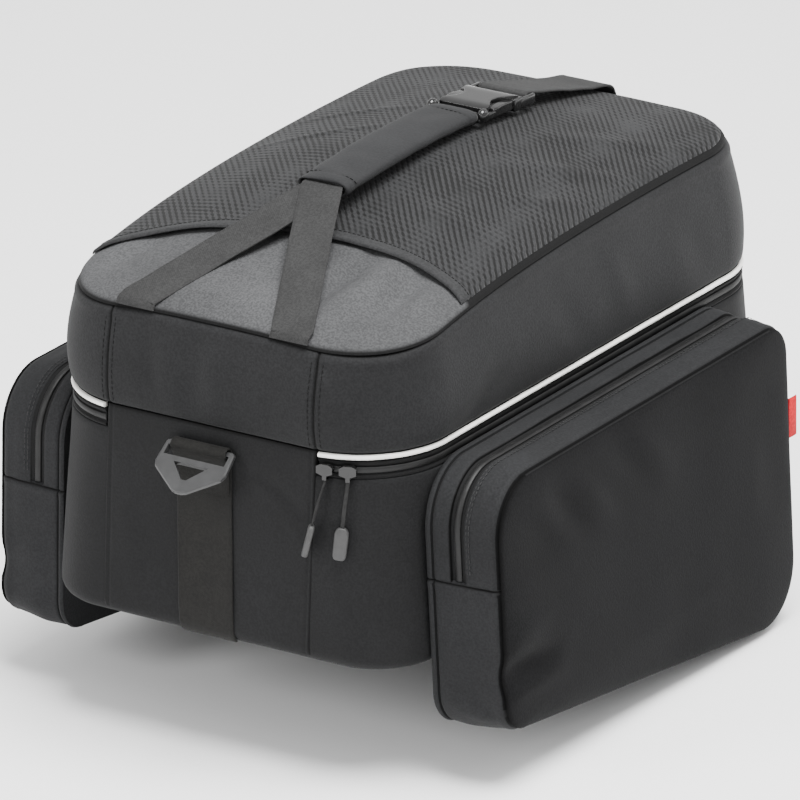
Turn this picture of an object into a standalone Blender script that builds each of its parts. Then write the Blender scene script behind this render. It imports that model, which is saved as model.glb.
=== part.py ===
# Bicycle trunk bag: box body with a domed zip lid, two hanging side pockets,
# a Y strap with a padded handle and a side release buckle, and a D-ring.
# Metres, +Z up. The front, with the D-ring, faces -Y. The origin is the middle
# of the base's underside, where the bag sits on its rack.

import bpy
import bmesh
from math import asin, cos, pi, radians, sin, sqrt
from mathutils import Vector, Matrix

# Common clearances and cloth
gap = 0.0003
cloth = 0.0025
webbing_thickness = 0.0016

# Body
body_length = 0.420
body_width = 0.248
tub_height = 0.1170
side_flare = 0.0050
end_flare = 0.0023
body_corner = 0.0567
base_corner = 0.0433
base_fillet = 0.0100

# Main zip, between the tub and the lid
zip_height = 0.0105
zip_recess = 0.0012
zip_tape = 0.0016
coil_width = 0.0044
coil_height = 0.0010
piping_height = 0.0040
piping_proud = 0.0013
hinge_width = 0.1450

# Lid
lid_width = 0.2414
lid_front_inset = 0.0021
lid_back_inset = 0.0118
lid_corner = 0.0573
lid_front_height = 0.0617
lid_rise = 0.0140
lid_crown = 0.0074
lid_bulge = 0.0044
lid_cloth = 0.0030
corner_drop = 0.0120
dome_height = 0.0225
dome_roll = 0.0040
fold_depth = 0.0024

# Mesh cover on the lid, and its bound front edge
mesh_cloth = 0.0012
mesh_lift = 0.0008
mesh_edge_lift = 0.0012
mesh_margin = 0.0030
binding_setback = 0.0885
binding_sag = 0.0226
binding_skew = 0.0160
binding_width = 0.0100
binding_thickness = 0.0022

# Y strap, padded sleeve and rear strap
strap_width = 0.0260
strap_spread = 0.0530
strap_lap = 0.0200
sleeve_front = 0.1180
sleeve_length = 0.1390
sleeve_width = 0.0350
sleeve_wall = 0.0021
sleeve_room = 0.0060
sleeve_front_lift = 0.0065
sleeve_play = 0.0014
sleeve_stand = 0.0026
rear_strap_width = 0.0340
rear_strap_end = 0.35
rear_strap_stand = 0.0028

# Side release buckle
buckle_width = 0.0400
buckle_height = 0.0098
buckle_slope = radians(-3)
socket_length = 0.0400
plug_length = 0.0180
prong_length = 0.0200
prong_width = 0.0060
plug_thickness = 0.0036
buckle_wall = 0.0022
plug_bar = 0.0042
buckle_slot = 0.0068
buckle_bevel = 0.0012

# Front webbing and D-ring
front_webbing_width = 0.0380
front_webbing_offset = -0.0043
webbing_end_turn = radians(50)
ring_bar_rise = 0.0020
ring_bar_radius = 0.0017
ring_bar_play = 0.0011
fold_length = 0.0180
ring_length = 0.0311
ring_width = 0.0486
ring_side = 0.0034
ring_shoulder = 0.0159
ring_bevel = 0.0008
ring_crossbar = 0.0085
ring_hole_top = 0.0120
ring_hole_width = 0.0240
ring_hole_height = 0.0105
ring_lean = radians(52)

# Zip sliders, pull cords and grips of the main zip
slider_length = 0.0100
slider_width = 0.0070
slider_height = 0.0034
slider_stand = 0.0004
slider_lug = 0.0026
cord_diameter = 0.0024
cord_drop = 0.0265
cord_stand = 0.0040
cord_bow = 0.0012
left_pull_place = 0.0060
right_pull_place = 0.0185
left_cord_lean = 0.0060
right_cord_lean = 0.0016
left_grip_turn = radians(70)
grip_length = 0.0200
grip_width = 0.0082
grip_thickness = 0.0040

# Side pockets
pocket_length = 0.3170
pocket_setback = 0.0338
pocket_depth = 0.0470
pocket_top_rise = 0.0002
pocket_drop_front = 0.0349
pocket_drop_back = 0.0678
pocket_radius_front_top = 0.0338
pocket_radius_back_top = 0.0206
pocket_radius_back_bottom = 0.0355
pocket_radius_front_bottom = 0.0191
pocket_taper = 0.0035
pocket_bulge = 0.0050
pocket_dent = 0.0050
pocket_zip_width = 0.0090
pocket_zip_end = 0.0560
pocket_zip_share = 0.43
zip_end_pull = 0.03
pocket_slider_length = 0.0110

# Side tag
tag_length = 0.0250
tag_reach = 0.0090
tag_thickness = 0.0012
tag_height = 0.0540

# Share of the lid's height, and share of the bulge that the wall has there
lid_sections = (
    (0.00, 0.00),
    (0.12, 0.55),
    (0.34, 0.95),
    (0.60, 1.00),
    (0.84, 0.66),
    (1.00, 0.00),
)

# How far the rear strap has come down from its buckle to the lid, at even steps
rear_strap_settle = (0.26, 0.66, 0.90, 1.0, 1.0)

# Upright folds of the lid's front: place and width as shares of the hinge's
# width, low and high ends as shares of the lid's height, share of fold_depth
lid_folds = (
    (-0.30, 0.09, 0.10, 0.80, 0.60),
    (-0.08, 0.10, 0.15, 0.95, 1.00),
    (0.66, 0.10, 0.05, 0.60, 0.70),
)

# Rings of the lid's top panel: share of the outline, share of dome_roll
panel_rings = (
    (1.00, 0.30),
    (0.975, 0.80),
    (0.93, 1.00),
    (0.80, 1.00),
    (0.60, 1.00),
    (0.32, 1.00),
)

# Dents of a pocket's outer face: place along and up as shares of its length
# and height, reach along and up as the same shares, share of pocket_dent
pocket_dents = (
    (0.05, 0.33, 0.13, 0.09, 1.00),
    (0.16, 0.80, 0.10, 0.12, 0.45),
    (0.55, 0.16, 0.20, 0.08, 0.30),
    (0.93, 0.55, 0.06, 0.16, 0.30),
)

# Rings of a pocket's outer face: share of the outline, share of the bulge
face_rings = (
    (0.93, 0.35),
    (0.78, 0.72),
    (0.52, 0.95),
    (0.24, 1.00),
)

half_length = body_length / 2
bar_room = ring_bar_radius + ring_bar_play
ring_bar_height = tub_height + ring_bar_rise
pocket_top = tub_height + pocket_top_rise
zip_bottom = tub_height + gap
zip_top = zip_bottom + zip_height
piping_bottom = zip_top + gap
piping_top = piping_bottom + piping_height
lid_bottom = piping_top + gap
lid_back = half_length - lid_back_inset
lid_front = -half_length + lid_front_inset

corner_steps = 5
side_steps = 7
end_steps = 8


def clear_scene():
    for thing in list(bpy.data.objects):
        bpy.data.objects.remove(thing, do_unlink=True)


def make_material(name, colour, roughness, metallic=0.0):
    material = bpy.data.materials.new(name)
    material.use_nodes = True
    shader = material.node_tree.nodes["Principled BSDF"]
    shader.inputs["Base Color"].default_value = (*colour, 1.0)
    shader.inputs["Roughness"].default_value = roughness
    shader.inputs["Metallic"].default_value = metallic
    material.diffuse_color = (*colour, 1.0)
    return material


def add_mesh(name, points, faces, finish, smooth=40):
    mesh = bpy.data.meshes.new(name)
    mesh.from_pydata([tuple(point) for point in points], [], faces)
    bm = bmesh.new()
    bm.from_mesh(mesh)
    bmesh.ops.recalc_face_normals(bm, faces=bm.faces)
    bm.to_mesh(mesh)
    bm.free()
    mesh.shade_smooth()
    mesh.set_sharp_from_angle(angle=radians(smooth))
    thing = bpy.data.objects.new(name, mesh)
    bpy.context.collection.objects.link(thing)
    mesh.materials.append(make_material(name, *finish))
    return thing


def ring_solid(name, rings, finish, start=None, end=None, closed=False, smooth=40):
    # Bridges rings of equally many points. A start or end point closes that
    # side with a fan, "flat" closes it with one flat face.
    count = len(rings[0])
    points = [point for ring in rings for point in ring]
    faces = []
    steps = len(rings) if closed else len(rings) - 1
    for i in range(steps):
        here = i * count
        there = ((i + 1) % len(rings)) * count
        for j in range(count):
            k = (j + 1) % count
            faces.append((here + j, here + k, there + k, there + j))
    for cap, first in ((start, 0), (end, (len(rings) - 1) * count)):
        if cap is None:
            continue
        if isinstance(cap, str):
            faces.append(tuple(range(first, first + count)))
        else:
            points.append(cap)
            middle = len(points) - 1
            for j in range(count):
                faces.append((first + j, first + (j + 1) % count, middle))
    return add_mesh(name, points, faces, finish, smooth)


def sweep(name, stations, profile, finish, smooth=40):
    # Each station is a place with an across and an up vector, and each profile
    # point is measured along those two.
    rings = []
    for place, across, up in stations:
        rings.append([place + across * u + up * v for u, v in profile])
    return ring_solid(name, rings, finish, "flat", "flat", smooth=smooth)


box_faces = ((0, 1, 3, 2), (4, 6, 7, 5), (0, 4, 5, 1), (2, 3, 7, 6), (0, 2, 6, 4), (1, 5, 7, 3))


def bevel(thing, width, segments=1):
    modifier = thing.modifiers.new("bevel", "BEVEL")
    modifier.width = width
    modifier.segments = segments
    modifier.limit_method = "ANGLE"
    modifier.angle_limit = radians(40)


def mix(a, b, share):
    return a + (b - a) * share


def arc(centre, radius, start, stop, steps):
    points = []
    for i in range(steps + 1):
        angle = mix(start, stop, i / steps)
        points.append((centre[0] + radius * cos(angle), centre[1] + radius * sin(angle)))
    return points


def outline(half_width, front, back, radius, first_x=0.0):
    # Round the bag from first_x on the front, over the right side and the
    # back, to minus first_x on the front.
    right = half_width - radius
    points = []
    front_steps = end_steps // 2
    first_angle = -pi / 2
    if first_x < right:
        for i in range(front_steps):
            points.append((mix(first_x, right, i / front_steps), front))
    else:
        first_angle += asin((first_x - right) / radius)
    points += arc((right, front + radius), radius, first_angle, 0, corner_steps)
    for i in range(1, side_steps):
        points.append((half_width, mix(front + radius, back - radius, i / side_steps)))
    points += arc((right, back - radius), radius, 0, pi / 2, corner_steps)
    half = points
    points = list(half)
    for i in range(1, end_steps):
        points.append((mix(right, -right, i / end_steps), back))
    mirrored = [(-x, y) for x, y in reversed(half)]
    points += mirrored
    return points


def full_outline(half_width, front, back, radius):
    return outline(half_width, front, back, radius)[:-1]


def body_flare(z):
    return 1 - z / piping_bottom


def body_half_width(z):
    return body_width / 2 + side_flare * body_flare(z)


def body_end(z):
    return half_length + end_flare * body_flare(z)


def body_radius(z):
    return mix(body_corner, base_corner, body_flare(z))


def body_front(x, z):
    radius = body_radius(z)
    over = max(abs(x) - (body_half_width(z) - radius), 0)
    return radius - sqrt(radius ** 2 - over ** 2) - body_end(z)


def body_outline(z, inset, first_x=None):
    half = body_half_width(z) - inset
    end = body_end(z) - inset
    radius = body_radius(z) - inset
    if first_x is None:
        return full_outline(half, -end, end, radius)
    return outline(half, -end, end, radius, first_x)


def at_height(flat_points, z):
    return [Vector((x, y, z)) for x, y in flat_points]


def lid_seam(x, y):
    along = (y + half_length) / body_length
    side = min(abs(x) / (lid_width / 2), 1)
    ahead = min(max(-y / half_length, 0), 1)
    arch = lid_crown * (1 - (y / half_length) ** 2)
    low_corner = corner_drop * side ** 3 * ahead ** 3
    return lid_bottom + lid_front_height + lid_rise * along + arch - low_corner


def lid_top(x, y):
    side = min(abs(x) / (lid_width / 2), 1)
    middle = (lid_front + lid_back) / 2
    reach = (lid_back - lid_front) / 2
    along = min(abs(y - middle) / reach, 1)
    dome = dome_height * (1 - side ** 1.8) * (1 - along ** 1.8)
    return lid_seam(x, y) + dome_roll + dome


def lid_size(share):
    half = mix(body_width / 2, lid_width / 2, share)
    front = mix(-half_length, lid_front, share)
    back = mix(half_length, lid_back, share)
    radius = mix(body_corner, lid_corner, share)
    return half, front, back, radius


def fold_at(x, share):
    depth = 0
    for place, width, low, high, amount in lid_folds:
        across = (x - place * hinge_width) / (width * hinge_width)
        if low < share < high:
            rise = sin(pi * (share - low) / (high - low))
            depth += amount * fold_depth * rise * max(0, 1 - across ** 2)
    return depth


def lid_outline(share, bulge, inset):
    half, front, back, radius = lid_size(share)
    grow = lid_bulge * bulge - inset
    points = []
    for x, y in full_outline(half + grow, front - grow, back + grow, radius + grow):
        z = mix(lid_bottom, lid_seam(x, y), share)
        if y < front - grow + gap:
            y += fold_at(x, share)
        points.append(Vector((x, y, z)))
    return points


def lid_back_at(share):
    bulge = 0
    for i in range(len(lid_sections) - 1):
        low, high = lid_sections[i], lid_sections[i + 1]
        if low[0] <= share <= high[0]:
            bulge = mix(low[1], high[1], (share - low[0]) / (high[0] - low[0]))
    return mix(half_length, lid_back, share) + lid_bulge * bulge


def deck(y):
    # Top of the mesh cover along the middle line
    return lid_top(0, y) + mesh_lift + mesh_cloth


# Finishes: linear colour, roughness
dark_nylon = (0.030, 0.030, 0.033)
lid_nylon = (0.045, 0.045, 0.049)
grey_nylon = (0.110, 0.110, 0.118)
webbing_grey = (0.070, 0.070, 0.070)
mesh_grey = (0.060, 0.060, 0.064)
grey_plastic = (0.130, 0.132, 0.135)
black_plastic = (0.020, 0.020, 0.022)
rubber_grey = (0.100, 0.100, 0.104)
reflective_white = (0.800, 0.800, 0.780)
tag_red = (0.450, 0.012, 0.018)


def build_tub():
    outer = []
    for i in range(4):
        angle = pi / 2 * i / 3
        z = base_fillet * (1 - cos(angle))
        outer.append(at_height(body_outline(z, base_fillet * (1 - sin(angle))), z))
    for share in (0.30, 0.65, 1.0):
        z = mix(base_fillet, tub_height, share)
        outer.append(at_height(body_outline(z, 0), z))
    inner = []
    for share in (1.0, 0.5, 0.12):
        z = mix(cloth, tub_height, share)
        inner.append(at_height(body_outline(z, cloth), z))
    inner.append(at_height(body_outline(cloth, base_fillet), cloth))
    ring_solid("body_tub", outer + inner, (dark_nylon, 0.75), "flat", "flat")


def stations_along(flat, z):
    # Stations along a level line, with across pointing out of the bag
    stations = []
    for i, (x, y) in enumerate(flat):
        before = flat[max(i - 1, 0)]
        after = flat[min(i + 1, len(flat) - 1)]
        run = Vector((after[0] - before[0], after[1] - before[1], 0)).normalized()
        stations.append((Vector((x, y, z)), Vector((run.y, -run.x, 0)), Vector((0, 0, 1))))
    return stations


def build_zip_line():
    first_x = hinge_width / 2 + 3 * gap
    middle = zip_height / 2
    low = middle - coil_width / 2
    high = middle + coil_width / 2
    tape = (
        (-zip_recess - zip_tape, 0),
        (-zip_recess, 0),
        (-zip_recess, low),
        (-zip_recess + coil_height, mix(low, middle, 0.5)),
        (-zip_recess + coil_height, mix(middle, high, 0.5)),
        (-zip_recess, high),
        (-zip_recess, zip_height),
        (-zip_recess - zip_tape, zip_height),
    )
    line = stations_along(body_outline(zip_bottom, 0, first_x), zip_bottom)
    sweep("main_zip", line, tape, (dark_nylon, 0.6))
    edge = (
        (-cloth, 0),
        (0, 0),
        (piping_proud, piping_height * 0.3),
        (piping_proud, piping_height * 0.7),
        (0, piping_height),
        (-cloth, piping_height),
    )
    line = stations_along(body_outline(piping_bottom, 0, first_x), piping_bottom)
    sweep("reflective_piping", line, edge, (reflective_white, 0.35))
    flat = []
    for i in range(9):
        x = mix(-hinge_width / 2, hinge_width / 2, i / 8)
        flat.append((x, body_front(x, zip_bottom)))
    panel = (
        (-cloth, 0),
        (0, 0),
        (0, piping_top - zip_bottom),
        (-cloth, piping_top - zip_bottom),
    )
    sweep("lid_hinge_panel", stations_along(flat, zip_bottom), panel, (dark_nylon, 0.75))


def build_lid_wall():
    outer = [lid_outline(share, bulge, 0) for share, bulge in lid_sections]
    inner = [lid_outline(share, bulge, lid_cloth) for share, bulge in reversed(lid_sections)]
    ring_solid("lid_wall", outer + inner, (lid_nylon, 0.72), closed=True)


def build_lid_panel():
    half, front, back, radius = lid_size(1)
    middle = (front + back) / 2
    edge = full_outline(half - gap, front + gap, back - gap, radius)

    def ring(share, roll, drop):
        points = []
        for x, y in edge:
            x, y = x * share, middle + (y - middle) * share
            z = lid_top(x, y) - dome_roll * (1 - roll) - drop
            points.append(Vector((x, y, max(z, lid_seam(x, y) + gap))))
        return points

    top = [ring(share, roll, 0) for share, roll in reversed(panel_rings)]
    under = [ring(1, 0, dome_height)]
    under.append(ring(panel_rings[1][0] - 0.01, 0, dome_height))
    under += [ring(share, 1, lid_cloth) for share, roll in panel_rings[2:]]
    peak = Vector((0, middle, lid_top(0, middle)))
    low_peak = peak - Vector((0, 0, lid_cloth))
    ring_solid("lid_top_panel", top + under, (grey_nylon, 0.6), peak, low_peak)


def binding_line(x):
    side = x / (lid_width / 2)
    return -half_length + binding_setback - binding_sag * abs(side) ** 3 + binding_skew * side


def edge_lift(x, y):
    # The mesh stands off the lid a little along its free front edge
    behind = (y - binding_line(x)) / (3 * binding_width)
    return mesh_lift + mesh_edge_lift * max(0, 1 - behind) ** 2


def mesh_back(x, half, back, radius):
    over = max(abs(x) - (half - radius), 0)
    return back - radius + sqrt(max(radius ** 2 - over ** 2, 0))


def build_mesh():
    columns = 20
    rows = 11
    half, front, back, radius = lid_size(1)
    half -= mesh_margin
    back -= mesh_margin
    radius -= mesh_margin
    grid = []
    for i in range(columns + 1):
        x = -half * cos(pi * i / columns)
        start = binding_line(x) + binding_width + gap
        column = []
        for j in range(rows + 1):
            y = mix(start, mesh_back(x, half, back, radius), j / rows)
            column.append(Vector((x, y, lid_top(x, y) + edge_lift(x, y))))
        grid.append(column)
    stations = []
    for column in grid:
        under = column
        over = [point + Vector((0, 0, mesh_cloth)) for point in reversed(column)]
        stations.append(under + over)
    ring_solid("mesh_cover", stations, (mesh_grey, 0.8), "flat", "flat")
    stations = []
    for i in range(columns + 1):
        x = mix(-half, half, i / columns)
        y = binding_line(x)
        front_z = lid_top(x, y) + edge_lift(x, y)
        rear_z = lid_top(x, y + binding_width) + edge_lift(x, y + binding_width)
        across = Vector((0, binding_width, rear_z - front_z))
        stations.append((Vector((x, y, front_z)), across, Vector((0, 0, 1))))
    edge = (
        (0, 0),
        (1, 0),
        (1, binding_thickness),
        (0.12, binding_thickness),
        (0, binding_thickness * 0.6),
    )
    sweep("mesh_binding", stations, edge, (lid_nylon, 0.7))


def strap_profile(width):
    half = width / 2
    thick = webbing_thickness / 2
    return ((-half, -thick), (half, -thick), (half, thick), (-half, thick))


sleeve_start = -half_length + sleeve_front
sleeve_end = sleeve_start + sleeve_length
strap_layer = webbing_thickness + gap
socket_end = plug_length + gap + socket_length


def sleeve_floor(y):
    ahead = (sleeve_end - y) / sleeve_length
    return deck(y) + sleeve_stand + sleeve_front_lift * max(ahead, 0) ** 2


def channel(y):
    return sleeve_floor(y) + sleeve_wall + sleeve_play


class Frame:
    # A place with a run direction in the YZ plane, for what lies along the lid

    def __init__(self, place, slope):
        self.place = Vector(place)
        self.run = Vector((0, cos(slope), sin(slope)))
        self.up = Vector((0, -sin(slope), cos(slope)))

    def at(self, x, along, high):
        return self.place + Vector((x, 0, 0)) + self.run * along + self.up * high


def buckle_frame():
    # Level with the underside of the plug's plate, at its front edge
    y = sleeve_end + gap
    z = channel(sleeve_end) + strap_layer - 2 * gap - plug_thickness
    return Frame((0, y, z), buckle_slope)


def framed_box(frame, low, high):
    points = []
    for x in (low[0], high[0]):
        for along in (low[1], high[1]):
            for up in (low[2], high[2]):
                points.append(frame.at(x, along, up))
    return points


def cut(thing, name, frame, low, high):
    cutter = add_mesh(name, framed_box(frame, low, high), box_faces, (grey_plastic, 0.5))
    cutter.hide_render = True
    cutter.display_type = "WIRE"
    modifier = thing.modifiers.new(name, "BOOLEAN")
    modifier.operation = "DIFFERENCE"
    modifier.solver = "EXACT"
    modifier.object = cutter


right = Vector((1, 0, 0))
upward = Vector((0, 0, 1))


def run_station(route, i, across=right):
    # A station of a strap whose middle line runs in a YZ plane
    before = route[max(i - 1, 0)]
    after = route[min(i + 1, len(route) - 1)]
    run = (after - before).normalized()
    return route[i], across, across.cross(run).normalized()


def bar_wrap(frame, along, towards, steps=6):
    # Middle line of webbing that comes over a bar, round it and back under
    half_bar = plug_bar / 2 + webbing_thickness / 2 + 3 * gap
    half_high = plug_thickness / 2 + webbing_thickness / 2 + 2 * gap
    middle = plug_thickness / 2
    points = []
    for i in range(steps + 1):
        angle = pi / 2 - towards * pi * i / steps
        c = squared(cos(angle), 0.5)
        d = squared(sin(angle), 0.5)
        points.append(frame.at(0, along + half_bar * c, middle + half_high * d))
    points.append(frame.at(0, along - towards * plug_bar * 0.45, middle - half_high))
    return points


def build_y_straps():
    half = webbing_thickness / 2
    for name, side, layer in (("y_strap_left", -1, 0), ("y_strap_right", 1, 1)):
        rise = layer * strap_layer + half
        foot_x = side * strap_spread
        foot_y = lid_front + dome_roll
        foot = Vector((foot_x, foot_y, lid_top(foot_x, foot_y) + gap + half))
        neck = Vector((0, sleeve_start - gap, channel(sleeve_start) + rise))
        run = neck - foot
        turn = run.cross(Vector((0, -run.z, run.y))).normalized()
        stations = [(foot, right, upward)]
        for share in (0.14, 0.36, 0.60, 0.82):
            place = foot.lerp(neck, share) + upward * rise * sin(pi * share) * 0.5
            stations.append((place, turn, upward))
        stations.append((neck, right, upward))
        stop = sleeve_end if layer else sleeve_start + strap_lap
        for i in range(1, 6):
            y = mix(sleeve_start, stop, i / 5)
            stations.append((Vector((0, y, channel(y) + rise)), right, upward))
        if layer:
            route = bar_wrap(buckle_frame(), plug_bar / 2, 1)
            stations += [run_station(route, i) for i in range(len(route))]
        sweep(name, stations, strap_profile(strap_width), (webbing_grey, 0.8))


def build_rear_strap():
    frame = buckle_frame()
    bar = socket_end - plug_bar / 2
    route = bar_wrap(frame, bar, -1)[::-1]
    high = webbing_thickness / 2 + rear_strap_stand
    start = route[-1]
    for i, settle in enumerate(rear_strap_settle):
        share = i / (len(rear_strap_settle) - 1)
        y = mix(start.y + 2 * plug_bar, lid_back - 0.6 * dome_roll - mesh_margin, share)
        route.append(Vector((0, y, mix(start.z, deck(y) + high, settle))))
    clear = webbing_thickness / 2 + 2 * gap
    seam = lid_seam(0, lid_back)
    route.append(Vector((0, lid_back + clear, seam + dome_roll)))
    for share in (0.84, 0.60, rear_strap_end):
        z = mix(lid_bottom, seam, share)
        route.append(Vector((0, lid_back_at(share) + clear, z)))
    stations = [run_station(route, i) for i in range(len(route))]
    sweep("rear_strap", stations, strap_profile(rear_strap_width), (webbing_grey, 0.8))


def squared(value, power):
    return abs(value) ** power * (1 if value >= 0 else -1)


def build_sleeve():
    stations = 7
    points = 16
    outer = []
    inner = []
    height = sleeve_room + 2 * sleeve_wall
    for i in range(stations):
        y = mix(sleeve_start, sleeve_end, i / (stations - 1))
        for rings, inset in ((outer, 0), (inner, sleeve_wall)):
            half = sleeve_width / 2 - inset
            tall = height / 2 - inset
            ring = []
            for k in range(points):
                c = cos(2 * pi * k / points)
                d = sin(2 * pi * k / points)
                x = half * squared(c, 0.45)
                z = height / 2 + tall * squared(d, 0.45)
                ring.append(Vector((x, y, sleeve_floor(y) + z)))
            rings.append(ring)
    ring_solid("handle_sleeve", outer + inner[::-1], (lid_nylon, 0.65), closed=True, smooth=60)


def build_buckle():
    frame = buckle_frame()
    half = buckle_width / 2
    arm = half - buckle_wall - gap
    tongue = buckle_width * 0.16
    side = [
        (half * 0.86, 0),
        (half, plug_length * 0.5),
        (half, plug_length - gap),
        (arm, plug_length),
        (arm, plug_length + prong_length * 0.35),
        (half, plug_length + prong_length * 0.6),
        (half - prong_width * 0.5, plug_length + prong_length),
        (arm - prong_width, plug_length + prong_length * 0.8),
        (arm - prong_width, plug_length + gap),
        (tongue, plug_length + gap),
        (tongue * 0.8, plug_length + prong_length * 0.9),
    ]
    loop = side + [(-x, y) for x, y in reversed(side)]
    rings = [[frame.at(x, y, z) for x, y in loop] for z in (0, plug_thickness)]
    plug = ring_solid("buckle_plug", rings, (grey_plastic, 0.35), "flat", "flat", smooth=30)
    slot_half = strap_width / 2 + 3 * gap
    slot_start = plug_bar
    high = 2 * plug_thickness
    cut(plug, "plug_slot", frame, (-slot_half, slot_start, -high), (slot_half, slot_start + buckle_slot, high))
    low = (plug_thickness - buckle_height) / 2
    top = low + buckle_height
    start = plug_length + gap
    stop = socket_end
    slot_stop = stop - plug_bar
    slot_start = slot_stop - buckle_slot
    thick = start + prong_length + 2 * buckle_wall
    shape = (
        (start, low),
        (thick, low),
        (slot_start, 0),
        (stop, 0),
        (stop, plug_thickness),
        (slot_start, plug_thickness),
        (thick, top),
        (start, top),
    )
    rings = [[frame.at(x, along, high) for along, high in shape] for x in (-half, half)]
    socket = ring_solid("buckle_socket", rings, (black_plastic, 0.25), "flat", "flat", smooth=30)
    bevel(socket, buckle_bevel, 2)
    play = 2 * gap
    reach = start + prong_length + play
    inner = half - buckle_wall
    cut(socket, "socket_mouth", frame, (-inner, start - play, -play), (inner, reach, plug_thickness + play))
    window = start + prong_length * 0.28
    tall = 3 * gap
    cut(socket, "socket_windows", frame, (-half - play, window, -tall), (half + play, reach + gap, plug_thickness + tall))
    slot_half = rear_strap_width / 2 + 3 * gap
    cut(socket, "socket_slot", frame, (-slot_half, slot_start, low - play), (slot_half, slot_stop, top + play))


def build_front_webbing():
    # Up the front from the base's rounded edge, over the ring's bar and back down
    half = webbing_thickness / 2
    clear = gap + half
    bar = ring_bar_place()
    end = body_end(0)
    radius = base_fillet + clear
    route = []
    centre = (-end + base_fillet, base_fillet)
    for y, z in arc(centre, radius, webbing_end_turn - pi, -pi, 3):
        route.append(Vector((0, y, z)))
    for share in (0.3, 0.65, 1.0):
        z = mix(base_fillet, bar.z - ring_bar_radius, share)
        route.append(Vector((0, -body_end(z) - clear, z)))
    wrap = bar_room + half
    for i in range(9):
        angle = radians(mix(0, 205, i / 8))
        route.append(bar + Vector((0, wrap * cos(angle), wrap * sin(angle))))
    for share in (0, 0.5, 1):
        z = bar.z - wrap * 2 - fold_length * share
        route.append(Vector((0, -body_end(z) - 3 * clear - gap, z)))
    stations = []
    for i in range(len(route)):
        place, across, up = run_station(route, i)
        stations.append((place + right * front_webbing_offset, across, up))
    sweep("front_webbing", stations, strap_profile(front_webbing_width), (webbing_grey, 0.85))


def ring_bar_place():
    wall = body_end(ring_bar_height) + gap + webbing_thickness
    return Vector((0, -wall - bar_room, ring_bar_height))


def build_ring():
    place = ring_bar_place() + right * front_webbing_offset
    frame = Frame(place, -pi / 2 - ring_lean)
    half = ring_width / 2
    rim = ring_bar_radius
    side = [
        (half - rim * 1.2, -rim),
        (half - rim * 0.5, -rim * 0.4),
        (half, ring_shoulder * 0.86),
        (half - rim, ring_shoulder + rim),
        (rim * 3, ring_length - rim * 0.6),
        (rim * 1.2, ring_length),
    ]
    loop = side + [(-x, y) for x, y in reversed(side)]
    rings = [[frame.at(x, y, z) for x, y in loop] for z in (-rim, rim)]
    ring = ring_solid("d_ring", rings, (grey_plastic, 0.4), "flat", "flat", smooth=30)
    bevel(ring, ring_bevel)
    slot = half - ring_side
    cut(ring, "ring_slot", frame, (-slot, rim, -2 * rim), (slot, ring_crossbar, 2 * rim))
    width = ring_hole_width / 2
    low = ring_hole_top + ring_hole_height
    corners = ((-width, ring_hole_top), (width, ring_hole_top), (rim, low), (-rim, low))
    rings = [[frame.at(x, y, z) for x, y in corners] for z in (-2 * rim, 2 * rim)]
    hole = ring_solid("ring_hole", rings, (grey_plastic, 0.4), "flat", "flat")
    hole.hide_render = True
    hole.display_type = "WIRE"
    modifier = ring.modifiers.new("ring_hole", "BOOLEAN")
    modifier.operation = "DIFFERENCE"
    modifier.solver = "EXACT"
    modifier.object = hole
    ring.data.transform(Matrix.Translation(-place))
    ring.location = place


def zip_place(distance):
    # Place and directions on the main zip, this far along from the hinge
    x = hinge_width / 2 + distance
    step = 0.5 * slider_length
    ends = [Vector((a, body_front(a, zip_bottom), 0)) for a in (x - step, x + step)]
    run = (ends[1] - ends[0]).normalized()
    out = Vector((run.y, -run.x, 0))
    middle = (ends[0] + ends[1]) / 2 + upward * (zip_bottom + zip_height / 2)
    return middle + out * (coil_height - zip_recess + gap + slider_stand), run, out


def build_main_sliders():
    half = slider_length / 2
    high = slider_width / 2
    lug = slider_lug / 2
    shape = [
        (-half, -high * 0.6),
        (-lug, -high),
        (-lug, -high - slider_lug),
        (lug, -high - slider_lug),
        (lug, -high),
        (half, -high * 0.6),
        (half, high * 0.6),
        (half * 0.5, high),
        (-half * 0.5, high),
        (-half, high * 0.6),
    ]
    for name, distance, lean, turn in pulls:
        place, run, out = zip_place(distance)
        rings = []
        for depth in (0, slider_height):
            rings.append([place + run * u + upward * v + out * depth for u, v in shape])
        ring_solid("zip_slider_" + name, rings, (black_plastic, 0.3), "flat", "flat", smooth=30)
        build_pull(name, place, run, out, lean, turn, high)


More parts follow.
